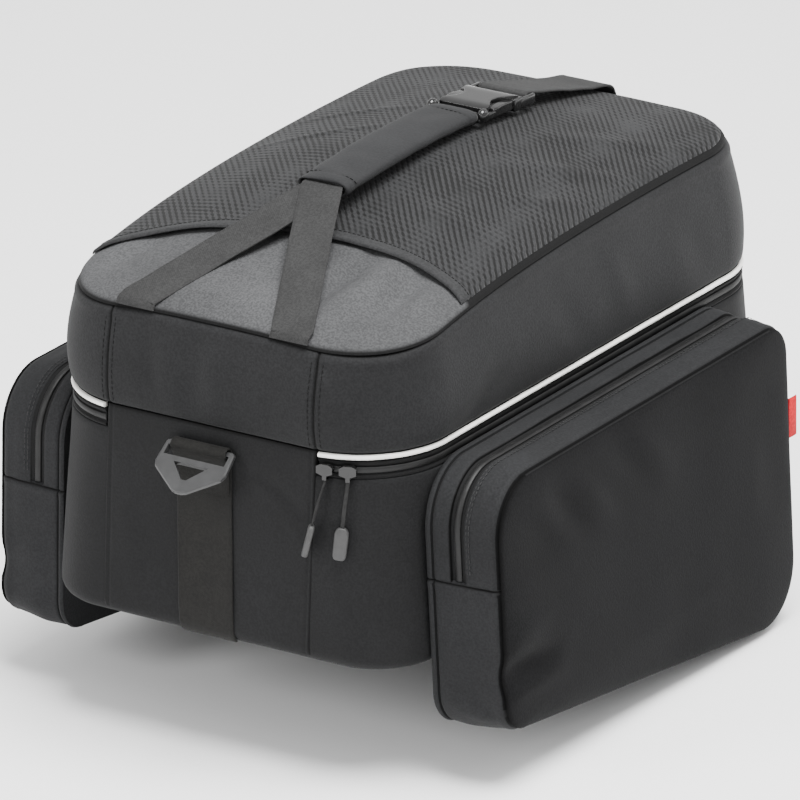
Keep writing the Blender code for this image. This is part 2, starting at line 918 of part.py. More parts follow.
def build_pull(name, place, run, out, lean, turn, high):
    tilt = cord_diameter * (lean + 4 * cord_bow) / cord_drop / 2
    top = place + out * (slider_height / 2) - upward * (high + slider_lug + gap + tilt)
    grip_top = top - upward * cord_drop - run * lean
    grip_top.y = body_front(grip_top.x, grip_top.z) - cord_stand
    if turn:
        grip_top.y -= (grip_width - grip_thickness) / 2 * sin(turn)
    points = []
    steps = 8
    for i in range(steps + 1):
        share = i / steps
        points.append(top.lerp(grip_top, share) + out * cord_bow * sin(pi * share))
    curve = bpy.data.curves.new("pull_cord_" + name, "CURVE")
    curve.dimensions = "3D"
    curve.bevel_depth = cord_diameter / 2
    curve.bevel_resolution = 2
    curve.use_fill_caps = True
    spline = curve.splines.new("POLY")
    spline.points.add(len(points) - 1)
    for i, point in enumerate(points):
        spline.points[i].co = (*point, 1)
    cord = bpy.data.objects.new("pull_cord_" + name, curve)
    bpy.context.collection.objects.link(cord)
    curve.materials.append(make_material("pull_cord_" + name, black_plastic, 0.8))
    way = (points[-1] - points[-2]).normalized()
    across = (Matrix.Rotation(turn, 3, way) @ run)
    across = (across - way * across.dot(way)).normalized()
    up = across.cross(way)
    half = grip_width / 2
    thin = grip_thickness / 2
    profile = (
        (-half, -thin * 0.5),
        (-half * 0.75, -thin),
        (half * 0.75, -thin),
        (half, -thin * 0.5),
        (half, thin * 0.5),
        (half * 0.75, thin),
        (-half * 0.75, thin),
        (-half, thin * 0.5),
    )
    stations = []
    for share, size in ((0, 0.72), (0.08, 1.0), (0.9, 0.94), (1.0, 0.66)):
        middle = points[-1] + way * (gap + grip_length * share)
        stations.append((middle, across * size, up * size))
    sweep("pull_grip_" + name, stations, profile, (rubber_grey, 0.7))


def pocket_inner(z):
    return body_half_width(z) + gap


def pocket_outline(grow):
    # Front edge upwards, over the top, down the back and along the bottom
    front = -half_length + pocket_setback
    back = front + pocket_length
    slant = (pocket_drop_back - pocket_drop_front) / pocket_length

    def floor(y):
        return -pocket_drop_front - slant * (y - front)

    turns = (
        (front, floor(front), pocket_radius_front_bottom, 1, 1, pi * 1.5, pi),
        (front, pocket_top, pocket_radius_front_top, 1, -1, pi, pi * 0.5),
        (back, pocket_top, pocket_radius_back_top, -1, -1, pi * 0.5, 0),
        (back, floor(back), pocket_radius_back_bottom, -1, 1, 0, -pi * 0.5),
    )
    arcs = []
    for y, z, radius, right_way, up_way, start, stop in turns:
        centre = (y + right_way * radius, z + up_way * radius)
        arcs.append([Vector((0, a, b)) for a, b in arc(centre, radius, start, stop, 4)])
    splits = (
        (arcs[0][-1], Vector((0, front, pocket_zip_end)), 3),
        (Vector((0, front, pocket_zip_end)), arcs[1][0], 2),
        (arcs[1][-1], arcs[2][0], 7),
        (arcs[2][-1], Vector((0, back, pocket_zip_end)), 2),
        (Vector((0, back, pocket_zip_end)), arcs[3][0], 3),
        (arcs[3][-1], arcs[0][0], 6),
    )
    sides = [[a.lerp(b, i / n) for i in range(n)] for a, b, n in splits]
    loop = arcs[0][:-1] + sides[0] + sides[1] + arcs[1][:-1] + sides[2]
    loop += arcs[2][:-1] + sides[3] + sides[4] + arcs[3][:-1] + sides[5]
    zip_first = 4 + 3
    zip_last = zip_first + 2 + 4 + 7 + 4 + 2
    grown = []
    for i, point in enumerate(loop):
        run = loop[(i + 1) % len(loop)] - loop[i - 1]
        normal = Vector((0, -run.z, run.y)).normalized()
        grown.append(point + normal * grow)
    return grown, zip_first, zip_last


def pocket_depth_at(z):
    return pocket_inner(z) + pocket_depth


def pocket_dent_at(y, z):
    front = -half_length + pocket_setback
    low = -pocket_drop_back
    depth = 0
    for along, up, reach_y, reach_z, amount in pocket_dents:
        a = (y - front - along * pocket_length) / (reach_y * pocket_length)
        b = (z - low - up * (pocket_top - low)) / (reach_z * (pocket_top - low))
        depth += amount * pocket_dent * max(0, 1 - a * a) * max(0, 1 - b * b)
    return depth


def pocket_skin(wall):
    # One closed skin of a pocket as columns of points, from the middle of its
    # back to the middle of its face. The wall is 0 for the outer skin.
    low_share = pocket_zip_share - pocket_zip_width / pocket_depth / 2
    high_share = pocket_zip_share + pocket_zip_width / pocket_depth / 2
    columns = []
    middle = Vector((0, -half_length + pocket_setback + pocket_length * 0.5, (pocket_top - pocket_drop_back) / 2))

    def face(share, bulge, depth_share):
        loop = pocket_outline(pocket_taper * (1 - depth_share) - wall)[0]
        points = []
        for point in loop:
            y = mix(middle.y, point.y, share)
            z = mix(middle.z, point.z, share)
            inner = pocket_inner(z)
            outer = pocket_depth_at(z)
            x = min(max(mix(inner, outer, depth_share), inner + wall), outer - wall)
            if depth_share == 1:
                x += pocket_bulge * bulge - pocket_dent_at(y, z)
            points.append(Vector((x, y, z)))
        return points

    columns.append(face(0.5, 0, 0))
    for depth_share in (0, low_share, high_share, 1):
        columns.append(face(1, 0, depth_share))
    for share, bulge in face_rings:
        columns.append(face(share, bulge, 1))
    return columns


def build_pocket(name, side):
    loop, zip_first, zip_last = pocket_outline(0)
    count = len(loop)
    outer = pocket_skin(0)
    inner = pocket_skin(cloth)
    columns = len(outer)
    points = [point for column in outer + inner for point in column]
    faces = []
    for skin in (0, 1):
        base = skin * columns * count
        for i in range(columns - 1):
            for j in range(count):
                if i == 2 and zip_first <= j < zip_last:
                    continue
                k = (j + 1) % count
                a = base + i * count
                b = a + count
                faces.append((a + j, a + k, b + k, b + j))
        for first in (base, base + (columns - 1) * count):
            total = sum((points[first + j] for j in range(count)), Vector())
            points.append(total / count)
            for j in range(count):
                faces.append((first + j, first + (j + 1) % count, len(points) - 1))
    shift = columns * count
    for i in (2, 3):
        for j in range(zip_first, zip_last):
            a = i * count + j
            faces.append((a, a + 1, a + 1 + shift, a + shift))
    for j in (zip_first, zip_last):
        a = 2 * count + j
        b = 3 * count + j
        faces.append((a, b, b + shift, a + shift))
    if side < 0:
        points = [Vector((-p.x, p.y, p.z)) for p in points]
    add_mesh("pocket_" + name, points, faces, (dark_nylon, 0.7), 50)


def build_pocket_zip(name, side):
    loop, zip_first, zip_last = pocket_outline(pocket_taper * (1 - pocket_zip_share))
    line = loop[zip_first:zip_last + 1]
    line[0] = line[0].lerp(line[1], zip_end_pull)
    line[-1] = line[-1].lerp(line[-2], zip_end_pull)
    half = pocket_zip_width / 2 - 2 * gap
    stations = []
    for i, point in enumerate(line):
        before = line[max(i - 1, 0)]
        after = line[min(i + 1, len(line) - 1)]
        run = (after - before).normalized()
        normal = Vector((0, -run.z, run.y))
        x = pocket_inner(point.z) + pocket_depth * pocket_zip_share
        stations.append((Vector((side * x, point.y, point.z)), right * side, normal))
    low = -zip_recess - zip_tape
    top = -zip_recess
    coil = coil_width / 2
    tape = (
        (-half, low),
        (half, low),
        (half, top),
        (coil, top),
        (coil * 0.6, top + coil_height),
        (-coil * 0.6, top + coil_height),
        (-coil, top),
        (-half, top),
    )
    sweep("pocket_zip_" + name, stations, tape, (dark_nylon, 0.6))
    place, across, normal = stations[-2]
    run = (line[-2] - line[-3]).normalized()
    start = place + normal * (coil_height - zip_recess + 2 * gap)
    rings = []
    half = slider_width / 2
    for along, size in ((0, 0.8), (0.3, 1.0), (1.0, 0.7)):
        middle = start + run * (along - 0.5) * pocket_slider_length
        ring = []
        for u, v in ((-half, 0), (half, 0), (half * 0.7, slider_height), (-half * 0.7, slider_height)):
            ring.append(middle + right * u * size + normal * v)
        rings.append(ring)
    ring_solid("pocket_slider_" + name, rings, (black_plastic, 0.3), "flat", "flat")


def build_tag():
    back = -half_length + pocket_setback + pocket_length
    x = pocket_depth_at(tag_height) - tag_thickness
    points = []
    for a in (x, x + tag_thickness):
        for y in (back + 2 * gap, back + tag_reach):
            for z in (tag_height - tag_length / 2, tag_height + tag_length / 2):
                points.append(Vector((a, y, z)))
    add_mesh("side_tag", points, box_faces, (tag_red, 0.6))


# Name, place along the zip from the hinge, sideways lean and turn of the grip
pulls = (
    ("left", left_pull_place, left_cord_lean, left_grip_turn),
    ("right", right_pull_place, right_cord_lean, 0.0),
)


def build():
    clear_scene()
    build_tub()
    build_zip_line()
    build_lid_wall()
    build_lid_panel()
    build_mesh()
    build_y_straps()
    build_sleeve()
    build_buckle()
    build_rear_strap()
    build_front_webbing()
    build_ring()
    build_main_sliders()
    for name, side in (("right", 1), ("left", -1)):
        build_pocket(name, side)
        build_pocket_zip(name, side)
    build_tag()


build()
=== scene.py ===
import bpy
import bmesh
import math
from mathutils import Matrix, Vector, noise


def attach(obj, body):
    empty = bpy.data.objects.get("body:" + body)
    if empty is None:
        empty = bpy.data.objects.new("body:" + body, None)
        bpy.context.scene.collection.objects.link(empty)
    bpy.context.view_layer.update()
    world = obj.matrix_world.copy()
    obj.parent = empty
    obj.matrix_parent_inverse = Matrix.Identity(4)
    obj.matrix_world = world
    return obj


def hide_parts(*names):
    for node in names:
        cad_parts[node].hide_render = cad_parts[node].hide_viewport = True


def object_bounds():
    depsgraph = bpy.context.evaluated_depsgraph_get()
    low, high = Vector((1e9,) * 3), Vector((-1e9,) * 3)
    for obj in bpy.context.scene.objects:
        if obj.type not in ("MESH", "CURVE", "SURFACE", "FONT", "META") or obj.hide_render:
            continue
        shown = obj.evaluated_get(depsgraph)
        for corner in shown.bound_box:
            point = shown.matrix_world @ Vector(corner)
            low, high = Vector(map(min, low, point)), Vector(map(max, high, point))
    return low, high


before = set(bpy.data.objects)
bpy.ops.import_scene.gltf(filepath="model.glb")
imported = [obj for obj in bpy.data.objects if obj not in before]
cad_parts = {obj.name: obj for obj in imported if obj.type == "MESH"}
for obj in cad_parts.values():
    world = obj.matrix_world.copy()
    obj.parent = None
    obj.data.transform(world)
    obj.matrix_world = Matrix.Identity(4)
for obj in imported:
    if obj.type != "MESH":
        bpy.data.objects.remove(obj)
cadLow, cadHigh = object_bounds()
print("frame loaded")

right = Vector((1, 0, 0))
up = Vector((0, 0, 1))
gap = 0.0003

# camera and lights
cameraSet = {
    "target": (0.0, 0.0, 0.1),
    "azimuth": 33.52,
    "elevation": 21.29,
    "roll": 0.81,
    "distance": 6.0,
    "lens": 456.9,
    "shiftX": -0.0161,
    "shiftY": -0.0435,
}
lightSet = {
    "world": 1.0,
    "top": (0.7, -0.2, 2.5, 1.8, 200.0),      # place x y z, size, power
    "left": (-1.4, -2.8, 1.5, 1.2, 56.0),
    "front": (1.8, -2.6, 1.2, 1.6, 12.0),
    "rear": (1.6, 2.0, 1.6, 1.4, 14.0),
}


def makeCamera(s):
    az = math.radians(s["azimuth"])
    el = math.radians(s["elevation"])
    back = Vector((math.sin(az) * math.cos(el), -math.cos(az) * math.cos(el), math.sin(el)))
    side = Vector((math.cos(az), math.sin(az), 0))
    high = back.cross(side)
    r = math.radians(s["roll"])
    camX = side * math.cos(r) - high * math.sin(r)
    camY = side * math.sin(r) + high * math.cos(r)
    data = bpy.data.cameras.new("camera")
    data.lens = s["lens"]
    data.sensor_width = 36
    data.shift_x = s["shiftX"]
    data.shift_y = s["shiftY"]
    data.clip_start = 0.1
    data.clip_end = 60
    cam = bpy.data.objects.new("camera", data)
    bpy.context.collection.objects.link(cam)
    turn = Matrix((camX, camY, back)).transposed().to_4x4()
    turn.translation = Vector(s["target"]) + back * s["distance"]
    cam.matrix_world = turn
    bpy.context.scene.camera = cam


def makeLights(s):
    world = bpy.data.worlds.new("studio")
    world.use_nodes = True
    world.node_tree.nodes["Background"].inputs[0].default_value = (1, 1, 1, 1)
    world.node_tree.nodes["Background"].inputs[1].default_value = s["world"]
    bpy.context.scene.world = world
    for name in ("top", "left", "front", "rear"):
        x, y, z, size, power = s[name]
        data = bpy.data.lights.new(name, "AREA")
        data.shape = "DISK"
        data.size = size
        data.energy = power
        lamp = bpy.data.objects.new(name, data)
        lamp.location = (x, y, z)
        lamp.rotation_euler = (Vector((0, 0, 0.08)) - lamp.location).to_track_quat("-Z", "Y").to_euler()
        bpy.context.collection.objects.link(lamp)


makeCamera(cameraSet)
makeLights(lightSet)

bpy.ops.object.select_all(action="DESELECT")
floorSet = {"size": 14, "drop": 0.0006, "tone": 0.93, "rough": 0.9}
bpy.ops.mesh.primitive_plane_add(size=floorSet["size"], location=(0, 0, cadLow.z - floorSet["drop"]))
floor = bpy.context.active_object
floor.name = "floor"
floorFinish = bpy.data.materials.new("floor")
floorFinish.use_nodes = True
floorShader = floorFinish.node_tree.nodes["Principled BSDF"]
floorShader.inputs["Base Color"].default_value = (*[floorSet["tone"]] * 3, 1)
floorShader.inputs["Roughness"].default_value = floorSet["rough"]
floor.data.materials.append(floorFinish)
print("camera, lights and floor")


# shared shader groups
def newGroup(name, inputs, outputs):
    group = bpy.data.node_groups.new(name, "ShaderNodeTree")
    for label, kind, value in inputs:
        socket = group.interface.new_socket(label, in_out="INPUT", socket_type="NodeSocket" + kind)
        if value is not None:
            socket.default_value = value
    for label, kind in outputs:
        group.interface.new_socket(label, in_out="OUTPUT", socket_type="NodeSocket" + kind)
    return group, group.nodes.new("NodeGroupInput"), group.nodes.new("NodeGroupOutput")


def math2(tree, kind, a, b=None, clamp=False):
    node = tree.nodes.new("ShaderNodeMath")
    node.operation = kind
    node.use_clamp = clamp
    for i, value in enumerate((a, b)):
        if value is None:
            continue
        if isinstance(value, (int, float)):
            node.inputs[i].default_value = value
        else:
            tree.links.new(value, node.inputs[i])
    return node.outputs[0]


# two sets of threads that cross, from a vector in metres
def makeWeaveGroup():
    group, ins, outs = newGroup(
        "weave",
        [("Vector", "Vector", None), ("Warp", "Float", 900.0), ("Weft", "Float", 900.0)],
        [("Height", "Float")],
    )
    split = group.nodes.new("ShaderNodeSeparateXYZ")
    group.links.new(ins.outputs["Vector"], split.inputs[0])
    u = math2(group, "MULTIPLY", split.outputs[0], ins.outputs["Warp"])
    v = math2(group, "MULTIPLY", split.outputs[1], ins.outputs["Weft"])
    product = math2(group, "MULTIPLY", math2(group, "SINE", u), math2(group, "SINE", v))
    lifted = math2(group, "ADD", math2(group, "MULTIPLY", product, 0.5), 0.5)
    group.links.new(lifted, outs.inputs["Height"])
    return group


# broad patches and fine grain of dyed cloth
def makeCloudGroup():
    group, ins, outs = newGroup(
        "cloud",
        [("Vector", "Vector", None), ("Patch", "Float", 22.0), ("Grain", "Float", 700.0)],
        [("Patches", "Float"), ("Fine", "Float")],
    )
    for label, socket, detail in (("Patches", "Patch", 3.0), ("Fine", "Grain", 2.0)):
        node = group.nodes.new("ShaderNodeTexNoise")
        node.inputs["Detail"].default_value = detail
        group.links.new(ins.outputs["Vector"], node.inputs["Vector"])
        group.links.new(ins.outputs[socket], node.inputs["Scale"])
        group.links.new(node.outputs["Fac"], outs.inputs[label])
    return group


weaveGroup = makeWeaveGroup()
cloudGroup = makeCloudGroup()


def addGroup(tree, group, vector, **values):
    node = tree.nodes.new("ShaderNodeGroup")
    node.node_tree = group
    tree.links.new(vector, node.inputs["Vector"])
    for key, value in values.items():
        node.inputs[key].default_value = value
    return node


def ramp(tree, value, stops):
    node = tree.nodes.new("ShaderNodeValToRGB")
    tree.links.new(value, node.inputs[0])
    line = node.color_ramp
    while len(line.elements) < len(stops):
        line.elements.new(0.5)
    for element, (place, colour) in zip(line.elements, stops):
        element.position = place
        element.color = (*colour, 1)
    return node.outputs[0]


def mixColour(tree, fac, a, b, blend="MIX"):
    node = tree.nodes.new("ShaderNodeMix")
    node.data_type = "RGBA"
    node.blend_type = blend
    for socket, value in ((node.inputs[0], fac), (node.inputs[6], a), (node.inputs[7], b)):
        if isinstance(value, tuple):
            socket.default_value = (*value, 1)
        elif isinstance(value, (int, float)):
            socket.default_value = value
        else:
            tree.links.new(value, socket)
    return node.outputs[2]


white = (1, 1, 1)
black = (0, 0, 0)


def grey(level, tint=0.0):
    return (level * (1 - tint), level * (1 - tint * 0.5), level * (1 + tint))


def startFinish(name, patch, grain):
    material = bpy.data.materials.new(name)
    material.use_nodes = True
    tree = material.node_tree
    place = tree.nodes.new("ShaderNodeTexCoord")
    cloud = addGroup(tree, cloudGroup, place.outputs["Object"], Patch=patch, Grain=grain)
    return material, tree, tree.nodes["Principled BSDF"], place, cloud


def splitPlace(tree, place):
    split = tree.nodes.new("ShaderNodeSeparateXYZ")
    tree.links.new(place.outputs["Object"], split.inputs[0])
    return split


def setRough(tree, shader, source, middle, spread):
    rough = math2(tree, "MULTIPLY", source, spread)
    rough = math2(tree, "ADD", rough, middle - spread / 2, clamp=True)
    tree.links.new(rough, shader.inputs["Roughness"])


def addBump(tree, shader, height, strength):
    bump = tree.nodes.new("ShaderNodeBump")
    bump.inputs["Strength"].default_value = strength
    bump.inputs["Distance"].default_value = 1.0
    tree.links.new(height, bump.inputs["Height"])
    tree.links.new(bump.outputs[0], shader.inputs["Normal"])


# one cloth finish: patches of tone, grain, weave, and darker lines from the
# piece's own seam attribute: dark seam lines, partly painted shade in the seam grooves, and other painted shade
def clothFinish(name, s):
    material, tree, shader, place, cloud = startFinish(name, s["patch"], s["grain"])
    flat = place.outputs["UV"]
    if s.get("plane"):
        split = splitPlace(tree, place)
        joined = tree.nodes.new("ShaderNodeCombineXYZ")
        for i, shares in enumerate(s["plane"]):
            total = None
            for axis, share in enumerate(shares):
                if share:
                    part = math2(tree, "MULTIPLY", split.outputs[axis], share)
                    total = math2(tree, "ADD", total, part) if total else part
            tree.links.new(total, joined.inputs[i])
        flat = joined.outputs[0]
    weave = addGroup(tree, weaveGroup, flat, Warp=s["warp"], Weft=s["weft"])
    baseTone = ramp(tree, cloud.outputs["Patches"], [(0.3, s["dark"]), (0.7, s["light"])])
    specks = [(0.38, grey(1 - s["speck"])), (0.62, grey(1 + s["speck"] * 0.4))]
    colour = mixColour(tree, 1.0, baseTone, ramp(tree, cloud.outputs["Fine"], specks), "MULTIPLY")
    threads = ramp(tree, weave.outputs["Height"], [(0.0, grey(1 - s["thread"])), (1.0, white)])
    colour = mixColour(tree, 1.0, colour, threads, "MULTIPLY")
    # the seam attribute carries dark seam lines, partly painted shade in their grooves, and painted shade on
    # shaded places
    seam = tree.nodes.new("ShaderNodeAttribute")
    seam.attribute_name = "seam"
    seamAndShadeLine = ramp(tree, seam.outputs["Fac"], [(0.0, white), (0.85, grey(s["seamAndShadeDark"]))])
    colour = mixColour(tree, 1.0, colour, seamAndShadeLine, "MULTIPLY")
    tree.links.new(colour, shader.inputs["Base Color"])
    setRough(tree, shader, cloud.outputs["Patches"], s["rough"], 0.16)
    shader.inputs["Sheen Weight"].default_value = s["sheen"]
    shader.inputs["Sheen Roughness"].default_value = 0.45
    shader.inputs["Specular IOR Level"].default_value = s["specular"]
    height = math2(tree, "MULTIPLY", weave.outputs["Height"], s["weaveDepth"])
    fine = math2(tree, "MULTIPLY", cloud.outputs["Fine"], s["grainDepth"])
    addBump(tree, shader, math2(tree, "ADD", height, fine), 0.8)
    return material


# moulded plastic, painted metal and rubber: fine grain and soft wear
def hardFinish(name, dark, light, patch, grain, rough, depth, specular=0.5):
    material, tree, shader, place, cloud = startFinish(name, patch, grain)
    baseTone = ramp(tree, cloud.outputs["Patches"], [(0.35, dark), (0.65, light)])
    tree.links.new(baseTone, shader.inputs["Base Color"])
    setRough(tree, shader, cloud.outputs["Fine"], rough, 0.12)
    shader.inputs["Specular IOR Level"].default_value = specular
    addBump(tree, shader, math2(tree, "MULTIPLY", cloud.outputs["Fine"], depth), 0.6)
    return material


clothBase = {
    "patch": 18.0, "grain": 760.0, "warp": 6800.0, "weft": 6800.0, "speck": 0.28, "thread": 0.12, "seamAndShadeDark": 0.05,
    "rough": 0.74, "sheen": 0.03, "weaveDepth": 0.00005, "grainDepth": 0.00020, "specular": 0.12,
}
wallPlane = ((1, 1, 0), (0, 0, 1))           # wraps round the bag, and up it
pocketPlane = ((0.8, 1, 0), (0.6, 0, 1))
topPlane = ((1, 0, 0), (0, 1, 0))


# a cloth's dark and light tone with the tint of both, then what differs from the base
def tonedCloth(name, dark, light, tint, **rest):
    return clothFinish(name, {**clothBase, "dark": grey(dark, tint), "light": grey(light, tint), **rest})


bodyNylon = tonedCloth("body nylon", 0.0070, 0.0104, 0.03, plane=wallPlane)
lidNylon = tonedCloth("lid nylon", 0.0104, 0.0150, 0.03, plane=wallPlane, sheen=0.04)
# the top panel's cloth is set lighter than the lid's, partly as painted light from above
panelNylon = tonedCloth("panel nylon", 0.044, 0.064, 0.02, plane=topPlane, patch=14.0)
pocketNylon = tonedCloth("pocket nylon", 0.0104, 0.0156, 0.04, plane=pocketPlane, speck=0.26)
# a darker copy of the pocket cloth for the faces that turn to the side: painted shade
shadedPocketFace = tonedCloth("shaded pocket face nylon", 0.0040, 0.0064, 0.04, plane=pocketPlane, speck=0.40, specular=0.07,
                       sheen=0.015, thread=0.3)
sleeveNylon = tonedCloth("sleeve cloth", 0.0145, 0.0190, 0.03, sheen=0.05, speck=0.16)
bindingCloth = tonedCloth("binding tape", 0.020, 0.028, 0.02, weft=4600.0, warp=4600.0, thread=0.2)
tapeCloth = tonedCloth("zip tape", 0.0036, 0.0060, 0.02)
tagCloth = clothFinish("red tab", {
    **clothBase, "dark": (0.42, 0.008, 0.014), "light": (0.52, 0.012, 0.02), "warp": 4200.0, "weft": 4200.0})
webBase = {**clothBase, "warp": 3900.0, "weft": 5200.0, "thread": 0.25, "weaveDepth": 0.00008, "patch": 60.0}
webbingCloth = clothFinish("webbing", {**webBase, "dark": grey(0.0230), "light": grey(0.0290), "speck": 0.24})
darkWebbing = clothFinish("dark webbing", {
    **webBase, "dark": (0.0098, 0.0095, 0.0088), "light": (0.0128, 0.0125, 0.0115)})
coilFinish = hardFinish("zip coil", grey(0.005), grey(0.009),
    patch=80.0, grain=900.0, rough=0.52, depth=0.00002, specular=0.25)
threadFinish = hardFinish("stitch thread", grey(0.010), grey(0.018),
    patch=300.0, grain=3000.0, rough=0.6, depth=0.00003, specular=0.3)
darkThread = hardFinish("dark thread", grey(0.003), grey(0.006),
    patch=300.0, grain=3000.0, rough=0.6, depth=0.00003, specular=0.12)
pipingFinish = hardFinish("reflective piping", (0.78, 0.77, 0.73), (0.90, 0.89, 0.86),
    patch=90.0, grain=1500.0, rough=0.30, depth=0.00004)
greyPlastic = hardFinish("grey plastic", grey(0.025, 0.01), grey(0.034, 0.01),
    patch=120.0, grain=2600.0, rough=0.36, depth=0.00002)
blackPlastic = hardFinish("black plastic", grey(0.007), grey(0.010),
    patch=120.0, grain=2600.0, rough=0.16, depth=0.00001)
sliderFinish = hardFinish("painted slider", grey(0.004), grey(0.008),
    patch=200.0, grain=2600.0, rough=0.22, depth=0.00001)
gripRubber = hardFinish("grip rubber", grey(0.024), grey(0.034),
    patch=150.0, grain=1800.0, rough=0.6, depth=0.00005)
cordFinish = hardFinish("pull cord", grey(0.009), grey(0.016),
    patch=300.0, grain=2400.0, rough=0.7, depth=0.00006, specular=0.2)


# open knit of the cover: staggered holes between raised threads, painted near black as painted shade of the cloth
# seen through them
def meshFinish(name, s):
    material, tree, shader, place, cloud = startFinish(name, s["patch"], s["grain"])
    # the knit wanders a little, as it does where it is pulled
    bend = tree.nodes.new("ShaderNodeTexNoise")
    bend.inputs["Scale"].default_value = s["bendScale"]
    tree.links.new(place.outputs["Object"], bend.inputs["Vector"])
    pull = math2(tree, "MULTIPLY", math2(tree, "SUBTRACT", bend.outputs["Fac"], 0.5), s["bend"])
    split = splitPlace(tree, place)
    # two layers of the knit lie over each other, a little turned
    cells = math2(tree, "MULTIPLY", math2(tree, "SUBTRACT", cloud.outputs["Patches"], 0.5), s["uneven"])
    for degrees, across, along, share in s["layers"]:
        turn = math.radians(degrees)
        waves = []
        for angle, pitch in ((turn, across), (turn + math.pi / 2, along)):
            a = math2(tree, "MULTIPLY", split.outputs[0], math.cos(angle) * 2 * math.pi / pitch)
            b = math2(tree, "MULTIPLY", split.outputs[1], math.sin(angle) * 2 * math.pi / pitch)
            waves.append(math2(tree, "ADD", math2(tree, "ADD", a, b), pull))
        columns = math2(tree, "COSINE", waves[0])
        halfStep = math2(tree, "MULTIPLY", waves[0], 0.5)
        rows = math2(tree, "COSINE", math2(tree, "ADD", waves[1], halfStep))
        both = math2(tree, "ADD", columns, math2(tree, "MULTIPLY", rows, s["rowShare"]))
        cells = math2(tree, "ADD", cells, math2(tree, "MULTIPLY", both, share))
    holes = ramp(tree, math2(tree, "ADD", math2(tree, "MULTIPLY", cells, 0.5), 0.5),
                 [(s["holeLow"], black), (s["holeHigh"], white)])
    baseTone = ramp(tree, cloud.outputs["Fine"], [(0.3, s["dark"]), (0.7, s["light"])])
    # the holes get the painted shade colour
    colour = mixColour(tree, holes, baseTone, s["hole"])
    tree.links.new(colour, shader.inputs["Base Color"])
    shader.inputs["Roughness"].default_value = 0.75
    shader.inputs["Specular IOR Level"].default_value = 0.14
    shader.inputs["Sheen Weight"].default_value = 0.06
    depth = math2(tree, "MULTIPLY", holes, -s["depth"])
    fine = math2(tree, "MULTIPLY", cloud.outputs["Fine"], 0.0001)
    addBump(tree, shader, math2(tree, "ADD", depth, fine), 0.9)
    return material


meshCloth = meshFinish("open knit", {
    # turn, pitch across and along, share
    "layers": ((38.0, 0.0034, 0.0060, 0.40), (41.0, 0.0037, 0.0070, 0.22)),
    "patch": 26.0, "grain": 900.0, "rowShare": 0.40, "uneven": 1.2, "bend": 6.0, "bendScale": 8.0,
    "holeLow": 0.42, "holeHigh": 0.72, "depth": 0.0006,
    "dark": grey(0.0115, 0.03), "light": grey(0.022, 0.03), "hole": grey(0.0016)})
print("finishes")


# general shape helpers
def mix(a, b, share):
    return a + (b - a) * share


def clamp01(value):
    return min(max(value, 0.0), 1.0)


def smooth(low, high, value):
    t = clamp01((value - low) / (high - low))
    return t * t * (3 - 2 * t)


def bumpAt(value, centre, width):
    return math.exp(-((value - centre) / width) ** 2)


def wander(x, y, z, scale, shift=0.0):
    return noise.noise(Vector((x * scale + shift, y * scale - shift, z * scale + 2 * shift)))


# height of soft ridges (or valleys) that run from one point to another:
# rows of start a, start b, end a, end b, width, height, where b is in units of tall
def ridges(a, b, table, tall=1.0, end=0.12):
    total = 0.0
    for a0, b0, a1, b1, width, height in table:
        da, db = a1 - a0, (b1 - b0) * tall
        fromA, fromB = a - a0, (b - b0) * tall
        t = clamp01((fromA * da + fromB * db) / (da * da + db * db))
        away = math.hypot(fromA - da * t, fromB - db * t)
        total += height * math.sin(math.pi * mix(end, 1 - end, t)) * math.exp(-(away / width) ** 2)
    return total


# a piece that rides on the bag: where it stands for a node, that node's part is hidden
def addPiece(name, points, faces, finish, node=None, slot=None, seams=None, uvs=None, angle=60):
    mesh = bpy.data.meshes.new(name)
    mesh.from_pydata([tuple(p) for p in points], [], faces)
    if uvs:
        layer = mesh.uv_layers.new(name="UVMap")
        for loop in mesh.loops:
            layer.data[loop.index].uv = uvs[loop.vertex_index] if loop.vertex_index < len(uvs) else (0, 0)
    # the seam attribute holds dark seam lines, partly painted shade in their grooves, and painted shade
    attribute = mesh.attributes.new("seam", "FLOAT", "POINT")
    if seams:
        for i, value in enumerate(seams):
            attribute.data[i].value = value
    bm = bmesh.new()
    bm.from_mesh(mesh)
    bmesh.ops.recalc_face_normals(bm, faces=bm.faces)
    bm.to_mesh(mesh)
    bm.free()
    mesh.shade_smooth()
    if angle < 180:
        mesh.set_sharp_from_angle(angle=math.radians(angle))
    obj = bpy.data.objects.new(name, mesh)
    bpy.context.collection.objects.link(obj)
    mesh.materials.append(finish)
    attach(obj, "bag")
    if node:
        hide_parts(node)
    return obj


# skins rings of equally many points; uv is in metres along and across them
def loft(name, rings, finish, start=None, end=None, closed=False, **rest):
    count = len(rings[0])
    points = [p for ring in rings for p in ring]
    uvs = []
    down = [0.0] * count
    for i, ring in enumerate(rings):
        along = 0.0
        for j, p in enumerate(ring):
            if j:
                along += (Vector(p) - Vector(ring[j - 1])).length
            if i:
                down[j] += (Vector(p) - Vector(rings[i - 1][j])).length
            uvs.append((along, down[j]))
    faces = []
    steps = len(rings) if closed else len(rings) - 1
    for i in range(steps):
        here = i * count
        there = ((i + 1) % len(rings)) * count
        for j in range(count):
            k = (j + 1) % count
            faces.append((here + j, here + k, there + k, there + j))
    for cap, first in ((start, 0), (end, (len(rings) - 1) * count)):
        if cap == "flat":
            faces.append(tuple(range(first, first + count)))
        elif cap is not None:
            points.append(cap)
            uvs.append((0, 0))
            middle = len(points) - 1
            for j in range(count):
                faces.append((first + j, first + (j + 1) % count, middle))
    return addPiece(name, points, faces, finish, uvs=uvs, **rest)


